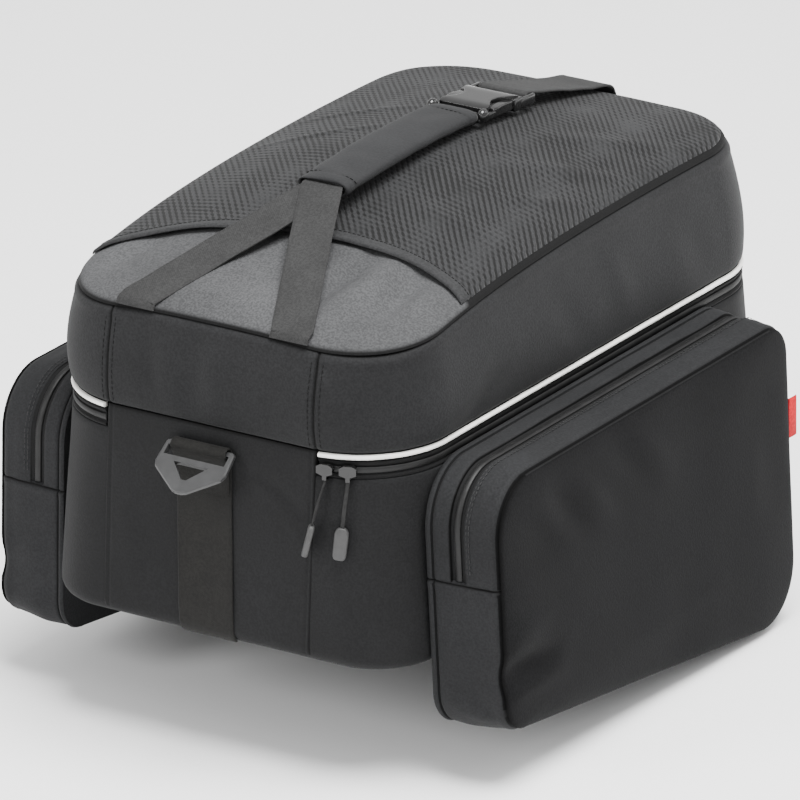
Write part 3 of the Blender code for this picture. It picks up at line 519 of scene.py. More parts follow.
# rounded rectangle in plan, from the middle of the front round by the right
def bagLoop(half, front, back, radius, counts=(18, 22, 44, 36)):
    endCount, cornerCount, sideCount, backCount = counts
    rightX = half - radius
    quarter = []

    def corner(middleY, start, stop):
        for i in range(cornerCount):
            a = mix(start, stop, i / cornerCount)
            nx, ny = math.cos(a), math.sin(a)
            quarter.append((rightX + radius * nx, middleY + radius * ny, nx, ny))

    for i in range(endCount):
        quarter.append((mix(0, rightX, i / endCount), front, 0, -1))
    corner(front + radius, -math.pi / 2, 0)
    for i in range(sideCount):
        quarter.append((half, mix(front + radius, back - radius, i / sideCount), 1, 0))
    corner(back - radius, 0, math.pi / 2)
    for i in range(backCount // 2):
        quarter.append((mix(rightX, 0, i / (backCount // 2)), back, 0, 1))
    middle = (0, back, 0, 1)
    other = [(-x, y, -nx, ny) for x, y, nx, ny in reversed(quarter[1:])]
    return quarter + [middle] + other


# places at even steps along a line of (point, outward normal)
def evenSteps(line, step):
    even = [line[0]]
    room = 0.0
    for a, b in zip(line, line[1:]):
        span = (b[0] - a[0]).length
        while room + span >= step:
            t = (step - room) / span
            a = (a[0].lerp(b[0], t), a[1].lerp(b[1], t).normalized())
            even.append(a)
            span = (b[0] - a[0]).length
            room = 0.0
        room += span
    return even


# rows of stitches along a line of (point, outward normal)
def stitchRun(line, pitch, length, width, lift):
    points, faces = [], []
    travel = [0.0]
    for i in range(1, len(line)):
        travel.append(travel[-1] + (line[i][0] - line[i - 1][0]).length)
    total = travel[-1]
    count = int(total / pitch)
    i = 0
    for n in range(count):
        middle = (n + 0.5) * total / max(count, 1)
        while i < len(travel) - 2 and travel[i + 1] < middle:
            i += 1
        t = (middle - travel[i]) / max(travel[i + 1] - travel[i], 1e-9)
        p = line[i][0].lerp(line[i + 1][0], t)
        normal = line[i][1].lerp(line[i + 1][1], t).normalized()
        run = (line[i + 1][0] - line[i][0]).normalized()
        side = run.cross(normal).normalized()
        base = len(points)
        for along, size in ((-0.5, 0.35), (-0.3, 1.0), (0.3, 1.0), (0.5, 0.35)):
            c = p + run * length * along + normal * (lift if abs(along) < 0.4 else lift * 0.2)
            for a in range(6):
                angle = math.pi * 2 * a / 6
                points.append(c + (side * math.cos(angle) + normal * math.sin(angle)) * width / 2 * size)
        for r in range(3):
            for a in range(6):
                b = (a + 1) % 6
                low = base + r * 6
                faces.append((low + a, low + b, low + 6 + b, low + 6 + a))
        faces.append(tuple(base + a for a in reversed(range(6))))
        faces.append(tuple(base + 18 + a for a in range(6)))
    return points, faces


def stitches(name, lines, finish, slot, pitch=0.0034, length=0.0026, width=0.0006):
    points, faces = [], []
    for line in lines:
        p, f = stitchRun(line, pitch, length, width, 0.0001)
        shift = len(points)
        points += p
        faces += [tuple(i + shift for i in face) for face in f]
    return addPiece(name, points, faces, finish, slot=slot, angle=180)


# tub
bag = {
    "length": 0.420, "width": 0.248, "tubHeight": 0.1170, "sideFlare": 0.0050, "endFlare": 0.0023,
    "corner": 0.0567, "baseCorner": 0.0433, "fillet": 0.0100,
    "zipHeight": 0.0105, "pipingHeight": 0.0040, "hinge": 0.1450,
    "sag": 0.00126, "sagMost": 0.0006, "cloth": 0.0025, "rimRound": 0.0006, "rimDrop": 0.0008,
}
halfLength = bag["length"] / 2
zipBottom = bag["tubHeight"] + gap
zipTop = zipBottom + bag["zipHeight"]
pipingBottom = zipTop + gap
pipingTop = pipingBottom + bag["pipingHeight"]
lidBottom = pipingTop + gap

# creases of the front wall: along x and z, from, to, width, height
frontCreases = (
    (0.030, 0.112, 0.064, 0.090, 0.0050, -0.0012),
    (0.034, 0.104, 0.052, 0.093, 0.0040, 0.0008),
    (-0.062, 0.100, -0.056, 0.020, 0.0090, 0.0007),
    (0.040, 0.050, 0.046, 0.015, 0.0110, 0.0006),
    (-0.030, 0.012, 0.030, 0.010, 0.0060, 0.0005),
)
sideCreases = (
    (-0.120, 0.100, -0.080, 0.040, 0.0100, 0.0009),
    (0.020, 0.110, 0.060, 0.080, 0.0100, -0.0008),
    (0.120, 0.030, 0.150, 0.100, 0.0100, 0.0009),
)


def flareAt(z):
    return 1 - z / pipingBottom


def bodySize(z, inset=0.0):
    half = bag["width"] / 2 + bag["sideFlare"] * flareAt(z) - inset
    end = halfLength + bag["endFlare"] * flareAt(z) - inset
    radius = mix(bag["corner"], bag["baseCorner"], flareAt(z)) - inset
    return half, end, radius


def bodyFront(x, z):
    half, end, radius = bodySize(z)
    over = max(abs(x) - (half - radius), 0)
    return radius - math.sqrt(radius ** 2 - over ** 2) - end


def tubWave(x, y, z, nx, ny):
    level = math.sin(math.pi * clamp01(z / bag["tubHeight"]))
    wave = bag["sag"] * level * wander(x, y, z, 16, 3.0)
    if ny < -0.9:
        wave += level ** 0.5 * ridges(x, z, frontCreases)
    if abs(nx) > 0.9:
        wave += level ** 0.5 * ridges(y, z, sideCreases)
    return wave


def tubRing(z, inset, wave=True):
    half, end, radius = bodySize(z, inset)
    ring = []
    for x, y, nx, ny in bagLoop(half, -end, end, radius):
        w = min(tubWave(x, y, z, nx, ny), bag["sagMost"]) if wave else 0
        ring.append(Vector((x + nx * w, y + ny * w, z)))
    return ring


def makeTub():
    # where a side pocket hangs, the wall keeps inside the body's own line
    fillet = bag["fillet"]
    rings = []
    for i in range(7):
        angle = math.pi / 2 * i / 6
        z = fillet * (1 - math.cos(angle))
        rings.append(tubRing(z, fillet * (1 - math.sin(angle)), False))
    for i in range(1, 31):
        z = mix(fillet, bag["tubHeight"] - bag["rimDrop"], i / 30)
        rings.append(tubRing(z, 0))
    rings.append(tubRing(bag["tubHeight"], bag["rimRound"], False))
    # the rim, then down the inside to the floor
    wall, top = bag["cloth"], bag["tubHeight"]
    for z, inset in ((top, wall - 0.0003), (top - 0.004, wall), (0.06, wall), (0.012, wall), (wall, 4 * wall)):
        rings.append(tubRing(z, inset, False))
    loft("tub_cloth", rings, bodyNylon, "flat", "flat", node="body_tub")


# the front panel runs from the base up over the lid's hinge, between two seams
panelSet = {"thick": 0.0011, "leftTop": -0.0724, "leftFoot": -0.0774, "rightTop": 0.0727, "rightFoot": 0.0665,
            "seam": 0.0015, "foot": 0.0052, "edgeRound": 0.0007, "sink": 0.0004, "stitchLine": 0.0034,
            "stitchSink": 0.0005, "wave": 0.0007, "topSink": 0.0008, "topSeam": 0.0008}


def panelEdges(z):
    share = z / pipingTop
    return [mix(panelSet[side + "Foot"], panelSet[side + "Top"], share) for side in ("left", "right")]


def makeFrontPanel():
    rows, columns = 70, 72
    grid = []
    seams = []
    for i in range(rows + 1):
        z = mix(panelSet["foot"], pipingTop - gap, i / rows)
        low, high = panelEdges(z)
        row = []
        for j in range(columns + 1):
            t = j / columns
            t = t - 0.12 * math.sin(2 * math.pi * t)
            x = mix(low, high, t)
            edge = min(x - low, high - x)
            rise = panelSet["thick"] * (1 - math.exp(-(edge + 0.0001) / panelSet["edgeRound"])) - panelSet["sink"]
            # the row of stitches pulls it in
            rise -= panelSet["stitchSink"] * bumpAt(edge, panelSet["stitchLine"], 0.0008)
            sink = 0.0
            if z < bag["fillet"]:
                sink = bag["fillet"] - math.sqrt(max(bag["fillet"] ** 2 - (bag["fillet"] - z) ** 2, 0))
            level = math.sin(math.pi * clamp01(z / pipingTop))
            w = level ** 0.5 * ridges(x, z, frontCreases) + panelSet["wave"] * level * wander(x, 0, z, 22, 5.0)
            rise += w - panelSet["topSink"] * bumpAt(z, pipingTop, 0.0018)
            row.append(Vector((x, bodyFront(x, z) + sink - rise, z)))
            # dark lines at the panel's edge seams and top, partly painted shade in the seam grooves
            seams.append(max(bumpAt(edge, 0.0, panelSet["seam"]), bumpAt(z, pipingTop, panelSet["topSeam"])))
        grid.append(row)
    rings = []
    for row in grid:
        # the hidden side lies in the tub's wall, deeper over the base's rounded edge
        behind = [Vector((p.x, bodyFront(p.x, p.z) + (0.0042 if p.z < 0.012 else 0.0012), p.z)) for p in row]
        rings.append(row + behind[::-1])
    # the hidden side and the cut edges get full painted shade
    flatSeamsAndShade = []
    for i in range(rows + 1):
        flatSeamsAndShade += seams[i * (columns + 1):(i + 1) * (columns + 1)] + [1.0] * (columns + 1)
    loft("front_panel", rings, bodyNylon, "flat", "flat", node="lid_hinge_panel", seams=flatSeamsAndShade)


makeTub()
makeFrontPanel()
print("tub and front panel")

# main zip and piping
zipSet = {"recess": 0.0014, "tape": 0.0016, "coilWidth": 0.0040, "coilHeight": 0.0014, "tooth": 0.0014,
          "pipingTall": 0.0030, "pipingProud": 0.0013, "pipingCore": 0.0004, "pipingWobble": 0.00035}


# points round the bag at a height, from the hinge's right end to its left end
def ringLine(z, startX, step=0.0012):
    half, end, radius = bodySize(z)
    loop = bagLoop(half, -end, end, radius, (60, 60, 160, 120))
    line = [(Vector((x, y, z)), Vector((nx, ny, 0))) for x, y, nx, ny in loop]
    picked = [(p, n) for p, n in line if p.y >= -halfLength + 0.03 or abs(p.x) >= startX]
    first = Vector((startX, bodyFront(startX, z), z))
    last = Vector((-startX, bodyFront(-startX, z), z))
    picked = [(first, picked[0][1])] + picked + [(last, picked[-1][1])]
    return evenSteps(picked, step)


def sweepOut(name, line, profile, finish, **rest):
    rings = []
    for point, out in line:
        rings.append([point + out * u + up * v for u, v in profile])
    return loft(name, rings, finish, "flat", "flat", **rest)


# the coil of a zip along a line of (place, out), as half sizes and its shift across and outward
def zipCoil(name, line, across, wide, deep, shift, lift, slot):
    rings = []
    for i, (point, out) in enumerate(line):
        size = 1.0 if i % 2 else 0.72
        ring = []
        for a in range(8):
            angle = 2 * math.pi * a / 8
            u = lift + deep * size * math.sin(angle)
            v = shift + wide * (0.9 + 0.1 * size) * math.cos(angle)
            ring.append(point + out * u + across * v)
        rings.append(ring)
    loft(name, rings, coilFinish, "flat", "flat", slot=slot, angle=180)


def makeMainZip():
    startX = bag["hinge"] / 2 + 3 * gap
    line = ringLine(zipBottom, startX, 0.003)
    s = zipSet
    h = bag["zipHeight"]
    # outward and up, the lower half and its mirror
    lower = [(-s["recess"] - s["tape"], 0.0), (-0.0006, 0.0), (-0.0002, 0.0004), (-0.0002, 0.0012),
             (-0.0009, 0.0019), (-s["recess"], 0.0024)]
    tape = lower + [(u, h - v) for u, v in lower[::-1]]
    sweepOut("main_zip_tape", line, tape, tapeCloth, node="main_zip")
    fine = ringLine(zipBottom, startX + 0.0004, s["tooth"] / 2)
    zipCoil("main_zip_coil", fine, up, s["coilWidth"] / 2, s["coilHeight"] / 2, h / 2, 0.0004 - s["recess"],
            "main_zip")


def makePiping():
    line = ringLine(pipingBottom, bag["hinge"] / 2 + 3 * gap, 0.002)
    h = bag["pipingHeight"]
    tall = zipSet["pipingTall"] / 2
    profile = [(-0.0024, h / 2 - tall)]
    for a in range(9):
        angle = -math.pi / 2 + math.pi * a / 8
        u = -zipSet["pipingCore"] + (zipSet["pipingProud"] + zipSet["pipingCore"]) * math.cos(angle)
        profile.append((u, h / 2 + tall * math.sin(angle)))
    profile.append((-0.0024, h / 2 + tall))
    rings = []
    for point, out in line:
        wobble = zipSet["pipingWobble"] * wander(point.x, point.y, 0, 60)
        rings.append([point + out * (u + wobble) + up * (v + wobble * 0.8) for u, v in profile])
    loft("piping_strip", rings, pipingFinish, "flat", "flat", node="reflective_piping")
    # the dark seam allowance that holds it, above and below
    backing = [(-0.0030, 0.0), (-0.0009, 0.0001), (-0.0009, h - 0.0001), (-0.0030, h)]
    sweepOut("piping_backing", line, backing, tapeCloth, slot="reflective_piping")


makeMainZip()
makePiping()
print("zip and piping")

# lid
lid = {
    "width": 0.2414, "frontInset": 0.0021, "backInset": 0.0118, "corner": 0.0573,
    "frontHeight": 0.0617, "rise": 0.0140, "crown": 0.0074, "bulge": 0.0044,
    "cornerDrop": 0.0120, "dome": 0.0225, "roll": 0.0040, "cloth": 0.0030,
    "wave": 0.0009, "seamWidth": 0.0009, "seamSink": 0.0011, "stitchOffset": 0.0036,
    "topSink": 0.0015, "footSink": 0.0010, "topBead": 0.0007,
    "panelWave": 0.0012, "foldMost": 0.0056, "panelCloth": 0.008,
}
lidBack = halfLength - lid["backInset"]
lidFront = -halfLength + lid["frontInset"]
lidMiddle = (lidFront + lidBack) / 2
lidReach = (lidBack - lidFront) / 2
rollShare = 0.92           # of the top panel's outline, where its edge begins to roll over

# seams at both ends of the hinge: x at the lid's foot and at its top
lidSeams = ((-0.0715, -0.0690), (0.0722, 0.0734))

# creases of the lid's front: along x and share of height
lidFolds = (
    (-0.040, 0.15, -0.044, 0.85, 0.0075, -0.0012),
    (-0.012, 0.10, -0.009, 0.98, 0.0085, -0.0021),
    (0.006, 0.20, 0.008, 0.90, 0.0090, 0.0010),
    (-0.028, 0.30, -0.026, 0.85, 0.0090, 0.0010),
    (0.030, 0.10, 0.052, 0.34, 0.0080, -0.0010),
    (0.050, 0.20, 0.062, 0.70, 0.0080, 0.0008),
)
# the same along y for the right side, then for the left
lidSideFolds = (
    (-0.165, 0.10, -0.120, 0.40, 0.0080, 0.0014),
    (-0.130, 0.10, -0.100, 0.30, 0.0060, -0.0010),
    (-0.040, 0.60, -0.010, 0.20, 0.0100, -0.0012),
    (0.020, 0.70, 0.040, 0.25, 0.0090, 0.0010),
    (0.100, 0.60, 0.130, 0.15, 0.0100, -0.0010),
)


def lidSeam(x, y):
    along = (y + halfLength) / bag["length"]
    side = min(abs(x) / (lid["width"] / 2), 1)
    ahead = clamp01(-y / halfLength)
    arch = lid["crown"] * (1 - (y / halfLength) ** 2)
    low = lid["cornerDrop"] * side ** 3 * ahead ** 3
    return lidBottom + lid["frontHeight"] + lid["rise"] * along + arch - low


def lidTop(x, y):
    side = min(abs(x) / (lid["width"] / 2), 1)
    along = min(abs(y - lidMiddle) / lidReach, 1)
    dome = lid["dome"] * (1 - side ** 1.8) * (1 - along ** 1.8)
    return lidSeam(x, y) + lid["roll"] + dome


def lidSize(share):
    half = mix(bag["width"] / 2, lid["width"] / 2, share)
    front = mix(-halfLength, lidFront, share)
    back = mix(halfLength, lidBack, share)
    return half, front, back, mix(bag["corner"], lid["corner"], share)


def wallBulge(share):
    return math.sin(math.pi * share ** 0.86) ** 0.8


def lidRing(share, inset=0.0, detail=True):
    half, front, back, radius = lidSize(share)
    grow = lid["bulge"] * wallBulge(clamp01(share)) - inset
    ring, seams = [], []
    for x, y, nx, ny in bagLoop(half + grow, front - grow, back + grow, radius + grow, (46, 110, 60, 40)):
        z = mix(lidBottom, lidSeam(x, y), share)
        w, dark = 0.0, 0.0
        if detail:
            edge = math.sin(math.pi * clamp01(share)) ** 0.4
            w = lid["wave"] * edge * wander(x, y, z, 20, 9.0)
            if ny < -0.85:
                w += edge * foldLines(x, share, lidFolds)
            if nx > 0.85:
                w += edge * foldLines(y, share, lidSideFolds)
            if nx < -0.85:
                w += edge * foldLines(-y, share, lidSideFolds)
            # dark lines at the hinge seams and the top seam, partly painted shade in their grooves
            if ny < -0.5:
                dark = max(bumpAt(x, mix(*ends, share), lid["seamWidth"]) for ends in lidSeams)
                w -= lid["seamSink"] * dark
            w -= lid["topSink"] * bumpAt(share, 1.0, 0.018) + lid["footSink"] * bumpAt(share, 0.0, 0.02)
            w += lid["topBead"] * bumpAt(share, 0.93, 0.03)
            dark = max(dark, bumpAt(share, 1.0, 0.012))
        ring.append(Vector((x + nx * w, y + ny * w, z)))
        seams.append(dark)
    return ring, seams


# ridges whose second number is a share of the lid's height
def foldLines(a, share, table):
    return ridges(a, share, table, lid["frontHeight"], 0.15)


def makeLidWall():
    rings, seams = [], []
    for i in range(37):
        share = 0.5 - 0.5 * math.cos(math.pi * i / 36)
        ring, dark = lidRing(share)
        rings.append(ring)
        seams += dark
    for share in (1.0, 0.6, 0.3, 0.0):
        ring, dark = lidRing(share, lid["cloth"], False)
        rings.append(ring)
        seams += [0.0] * len(ring)
    loft("lid_wall_cloth", rings, lidNylon, closed=True, node="lid_wall", seams=seams)
    # double stitched seams at both ends of the hinge
    lines = []
    for side, ends in zip((-1, 1), lidSeams):
        for offset in (-lid["stitchOffset"], lid["stitchOffset"]):
            line = []
            for i in range(31):
                share = mix(0.03, 0.97, i / 30)
                half, front, back, radius = lidSize(share)
                grow = lid["bulge"] * wallBulge(share)
                x = mix(*ends, share) + offset
                over = max(abs(x) - (half - radius), 0)
                r = radius + grow
                y = front - grow + r - math.sqrt(r * r - over * over)
                z = mix(lidBottom, lidSeam(x, y), share)
                w = lid["wave"] * math.sin(math.pi * share) ** 0.4 * wander(x, y, z, 20, 9.0)
                w += foldLines(x, share, lidFolds)
                normal = Vector((x and over / r * side, -1, 0)).normalized()
                line.append((Vector((x, y, z)) + normal * w, normal))
            lines.append(line)
    stitches("lid_seam_stitches", lines, darkThread, "lid_wall")


# folds of the top panel in plan: from x y, to x y, width, height
panelFolds = (
    (0.064, -0.196, 0.071, -0.110, 0.0085, 0.0060),
    (0.044, -0.172, 0.056, -0.114, 0.0055, -0.0056),
    (0.088, -0.172, 0.085, -0.112, 0.0060, -0.0056),
    (0.101, -0.154, 0.104, -0.118, 0.0060, 0.0040),
    (0.080, -0.190, 0.100, -0.168, 0.0080, 0.0030),
    (0.030, -0.186, 0.038, -0.136, 0.0070, 0.0020),
    (-0.030, -0.192, 0.034, -0.190, 0.0130, 0.0020),
    (-0.108, -0.160, -0.092, -0.128, 0.0070, 0.0034),
    (-0.090, -0.168, -0.078, -0.130, 0.0060, -0.0028),
    (-0.030, -0.190, -0.014, -0.150, 0.0140, 0.0018),
    (0.004, -0.180, 0.020, -0.140, 0.0080, -0.0012),
)


def panelHeight(x, y, share):
    roll = 1.0
    if share > rollShare:
        roll = math.sqrt(max(1 - ((share - rollShare) / (1 - rollShare)) ** 2, 0))
    z = lidTop(x, y) - lid["roll"] * (1 - roll)
    soft = smooth(1.0, 0.9, share)
    # the cover's edge holds the folds down
    held = mix(1.0, 0.35, smooth(-0.016, 0.0, y - bindingLine(x)))
    folds = min(ridges(x, y, panelFolds), lid["foldMost"]) + lid["panelWave"] * wander(x, y, 0, 26, 4.0)
    return z + soft * held * folds


def makeTopPanel():
    half, front, back, radius = lidSize(1)
    loop = bagLoop(half - gap, front + gap, back - gap, radius, (46, 40, 60, 40))
    shares = [1.0, 0.997, 0.992, 0.985, 0.975, 0.962, 0.945, 0.925, 0.90, 0.87,
              0.84, 0.80, 0.76, 0.72, 0.66, 0.6, 0.5, 0.4, 0.28, 0.15]
    rings, seams = [], []
    for share in reversed(shares):
        ring = []
        for x, y, nx, ny in loop:
            x, y = x * share, lidMiddle + (y - lidMiddle) * share
            ring.append(Vector((x, y, panelHeight(x, y, share))))
            # painted shadow: the rolled edge behind the binding is painted dark, as it lies in the cover's shadow
            paintedShadow = smooth(0.002, 0.008, y - bindingLine(x)) * smooth(0.92, 0.96, share)
            seams.append(max(bumpAt(share, 1.0, 0.007), paintedShadow))
        rings.append(ring)
    under = []
    deep = lid["panelCloth"]
    for share in shares[::-4]:
        ring = []
        for x, y, nx, ny in loop:
            far = (y - lidMiddle) * share
            z = max(lidTop(x * share, lidMiddle + far) - deep, lidSeam(x * share, y))
            ring.append(Vector((x * share * 0.985, lidMiddle + far * 0.985, z)))
        under.append(ring)
        seams += [0.0] * len(loop)
    rings += under[::-1]
    peak = Vector((0, lidMiddle, lidTop(0, lidMiddle)))
    loft("lid_panel_cloth", rings, panelNylon, peak, peak - up * deep, node="lid_top_panel", seams=seams)


makeLidWall()
print("lid")

# mesh cover and its bound edge
cover = {
    "cloth": 0.0012, "lift": 0.0008, "edgeLift": 0.0012, "margin": 0.0030,
    "setback": 0.0885, "sag": 0.0226, "skew": 0.0160, "binding": 0.0100, "bindingThick": 0.0022,
    "dip": 0.0006, "wave": 0.0004, "hemDrop": 0.0012, "hemRound": 0.0016, "bindingWave": 0.0003,
}
# ridges of the cover in plan: from x y, to x y, width, height
coverFolds = (
    (-0.105, -0.010, -0.030, 0.035, 0.0030, 0.0012),
    (-0.105, 0.040, -0.040, 0.075, 0.0030, 0.0012),
    (0.060, 0.020, 0.108, 0.060, 0.0070, 0.0016),
    (0.075, -0.020, 0.108, 0.010, 0.0060, 0.0014),
    (0.050, 0.070, 0.105, 0.120, 0.0080, 0.0014),
    (0.040, -0.060, 0.108, -0.060, 0.0070, 0.0012),
    (0.085, -0.080, 0.100, 0.140, 0.0060, -0.0008),
)


def bindingLine(x):
    side = x / (lid["width"] / 2)
    return -halfLength + cover["setback"] - cover["sag"] * abs(side) ** 3 + cover["skew"] * side


def edgeLift(x, y):
    behind = (y - bindingLine(x)) / (3 * cover["binding"])
    stand = cover["edgeLift"] * max(0, 1 - behind) ** 2
    # it stands off more at the two ends of the straps, and lies down at its own ends
    loose = bumpAt(x, 0.080, 0.022) + bumpAt(x, -0.062, 0.022)
    down = smooth(0.0, 0.014, lid["width"] / 2 - abs(x))
    return cover["lift"] * mix(0.4, 1.0, down) + stand * (1 + 0.9 * loose) * down


# share of the panel's outline at a point, 1 on its seam
def outlineShare(x, y):
    half, front, back, radius = lidSize(1)
    a, b = abs(x), abs(y - lidMiddle)
    share = max(a / half, b / lidReach)
    cornerX, cornerY = half - radius, lidReach - radius
    if a > cornerX * share and b > cornerY * share:
        # solves (a - cornerX s)^2 + (b - cornerY s)^2 = (radius s)^2
        p = cornerX ** 2 + cornerY ** 2 - radius ** 2
        q = a * cornerX + b * cornerY
        share = (q - math.sqrt(max(q * q - p * (a * a + b * b), 0))) / p
    return share


# height of the panel's rolled edge under the cover
def rolledTop(x, y):
    over = clamp01((outlineShare(x, y) - rollShare) / (1 - rollShare))
    return lidTop(x, y) - lid["roll"] * (1 - math.sqrt(max(1 - over * over, 0)))


def coverBack(x, half, back, radius):
    over = max(abs(x) - (half - radius), 0)
    return back - radius + math.sqrt(max(radius ** 2 - over ** 2, 0))


def coverTop(x, y):
    return rolledTop(x, y) + edgeLift(x, y) + cover["cloth"]


def makeCover():
    columns, rows = 96, 110
    half, front, back, radius = lidSize(1)
    half -= cover["margin"]
    back -= cover["margin"]
    radius -= cover["margin"]
    rings = []
    for i in range(columns + 1):
        x = -half * math.cos(math.pi * i / columns)
        start = bindingLine(x) + 0.7 * cover["binding"]
        stop = coverBack(x, half, back, radius)
        top, low = [], []
        for j in range(rows + 1):
            y = mix(start, stop, j / rows)
            edge = min(half - abs(x), stop - y)
            soft = smooth(0.0, 0.012, edge) * smooth(0, 0.02, y - start)
            folds = max(ridges(x, y, coverFolds), -cover["dip"]) + cover["wave"] * wander(x, y, 0, 40, 1.0)
            z = coverTop(x, y) + soft * folds
            z -= cover["hemDrop"] * math.exp(-edge / cover["hemRound"])
            top.append(Vector((x, y, z)))
            low.append(Vector((x, y, min(z - 0.0004, coverTop(x, y) - cover["cloth"]))))
        rings.append(top + low[::-1])
    loft("mesh_cloth", rings, meshCloth, "flat", "flat", node="mesh_cover")


def makeBinding():
    half = lid["width"] / 2 - cover["margin"]
    rings, stitchLine = [], []
    stitchShare = 0.86                           # across the tape, in its sunk row
    thick = cover["bindingThick"]
    profile = [(0.0, 0.25), (0.03, 0.62), (0.10, 0.92), (0.22, 1.0), (0.5, 0.9), (0.76, 0.84), (0.86, 0.72),
               (0.94, 0.86), (0.985, 0.7), (1.0, 0.4), (0.97, 0.0), (0.5, 0.0), (0.06, 0.0)]
    for i in range(121):
        x = mix(-half, half, i / 120)
        y = bindingLine(x)
        frontZ = rolledTop(x, y) + edgeLift(x, y)
        rearZ = rolledTop(x, y + cover["binding"]) + edgeLift(x, y + cover["binding"])
        wave = cover["bindingWave"] * wander(x, y, 0, 60, 2.0)
        ring = []
        for u, v in profile:
            ring.append(Vector((x, y + cover["binding"] * u, mix(frontZ, rearZ, u) + thick * v + wave)))
        rings.append(ring)
        stitchZ = mix(frontZ, rearZ, stitchShare) + thick * 0.74 + wave
        stitchLine.append((Vector((x, y + cover["binding"] * stitchShare, stitchZ)), up))
    loft("binding_tape", rings, bindingCloth, "flat", "flat", node="mesh_binding")
    stitches("binding_stitches", [stitchLine], darkThread, "mesh_binding", 0.0030, 0.0022, 0.0007)


makeTopPanel()
makeCover()
makeBinding()
print("top panel and mesh cover")

# straps and handle
strap = {
    "width": 0.0260, "thick": 0.0016, "spread": 0.0530, "lap": 0.0200, "rearWidth": 0.0340,
    "sleeveFront": 0.1180, "sleeveLength": 0.1390, "sleeveWidth": 0.0350, "wall": 0.0021, "room": 0.0060,
    "frontLift": 0.0065, "play": 0.0014, "stand": 0.0026, "square": 0.78, "hem": 0.0095,
}
buckle = {
    "width": 0.0400, "height": 0.0098, "slope": math.radians(-3), "socket": 0.0400, "plug": 0.0180,
    "plugThick": 0.0036, "bar": 0.0042,
}
sleeveStart = -halfLength + strap["sleeveFront"]
sleeveEnd = sleeveStart + strap["sleeveLength"]
layerStep = strap["thick"] + gap
socketEnd = buckle["plug"] + gap + buckle["socket"]


def deck(y):
    return lidTop(0, y) + cover["lift"] + cover["cloth"]


def sleeveFloor(y):
    ahead = (sleeveEnd - y) / strap["sleeveLength"]
    return deck(y) + strap["stand"] + strap["frontLift"] * max(ahead, 0) ** 2


def channel(y):
    return sleeveFloor(y) + strap["wall"] + strap["play"]


buckleOrigin = Vector((0, sleeveEnd + gap, channel(sleeveEnd) + layerStep - 2 * gap - buckle["plugThick"]))
buckleRun = Vector((0, math.cos(buckle["slope"]), math.sin(buckle["slope"])))
buckleUp = Vector((0, -math.sin(buckle["slope"]), math.cos(buckle["slope"])))


def atBuckle(x, along, high):
    return buckleOrigin + Vector((x, 0, 0)) + buckleRun * along + buckleUp * high


# smooth curve through given points
def throughPoints(points, per):
    out = []
    last = len(points) - 1
    for i in range(last):
        p0 = points[max(i - 1, 0)]
        p1, p2 = points[i], points[i + 1]
        p3 = points[min(i + 2, last)]
        for k in range(per):
            t = k / per
            out.append(0.5 * ((2 * p1) + (p2 - p0) * t + (2 * p0 - 5 * p1 + 4 * p2 - p3) * t * t
                              + (3 * p1 - p0 - 3 * p2 + p3) * t ** 3))
    out.append(points[-1])
    return out


# flat webbing: stations of (place, across), the up side follows the run
def webbing(name, places, acrosses, width, thick, finish, wave=0.0002, **rest):
    rings = []
    half, thin = width / 2, thick / 2
    # shares across and high: rounded edges, a thicker selvedge and the flat middle
    outline = ((1.0, 0.3), (0.985, 0.75), (0.94, 1.0), (0.8, 0.86), (0.5, 0.86), (0.2, 0.86))
    profile = [(-u * half, thin * v) for u, v in outline] + [(u * half, thin * v) for u, v in outline[::-1]]
    profile += [(u, -v) for u, v in reversed(profile)]
    seams = []
    for i, place in enumerate(places):
        run = (places[min(i + 1, len(places) - 1)] - places[max(i - 1, 0)]).normalized()
        across = acrosses[i]
        across = (across - run * across.dot(run)).normalized()
        high = across.cross(run).normalized()
        ring = []
        for u, v in profile:
            w = wave * wander(place.x + u, place.y, place.z, 70, 6.0)
            ring.append(place + across * u + high * (v + w))
            seams.append(0.55 * bumpAt(abs(u), half * 0.90, half * 0.03))
        rings.append(ring)
    return loft(name, rings, finish, "flat", "flat", seams=seams, **rest)


def squared(value, power):
    return abs(value) ** power * (1 if value >= 0 else -1)


def barWrap(along, towards, steps=14):
    halfBar = buckle["bar"] / 2 + strap["thick"] / 2 + 3 * gap
    halfHigh = buckle["plugThick"] / 2 + strap["thick"] / 2 + 2 * gap
    middle = buckle["plugThick"] / 2
    points = []
    for i in range(steps + 1):
        angle = math.pi / 2 - towards * math.pi * i / steps
        ahead, high = halfBar * squared(math.cos(angle), 0.6), halfHigh * squared(math.sin(angle), 0.6)
        points.append(atBuckle(0, along + ahead, middle + high))
    points.append(atBuckle(0, along - towards * buckle["bar"] * 0.45, middle - halfHigh))
    return points


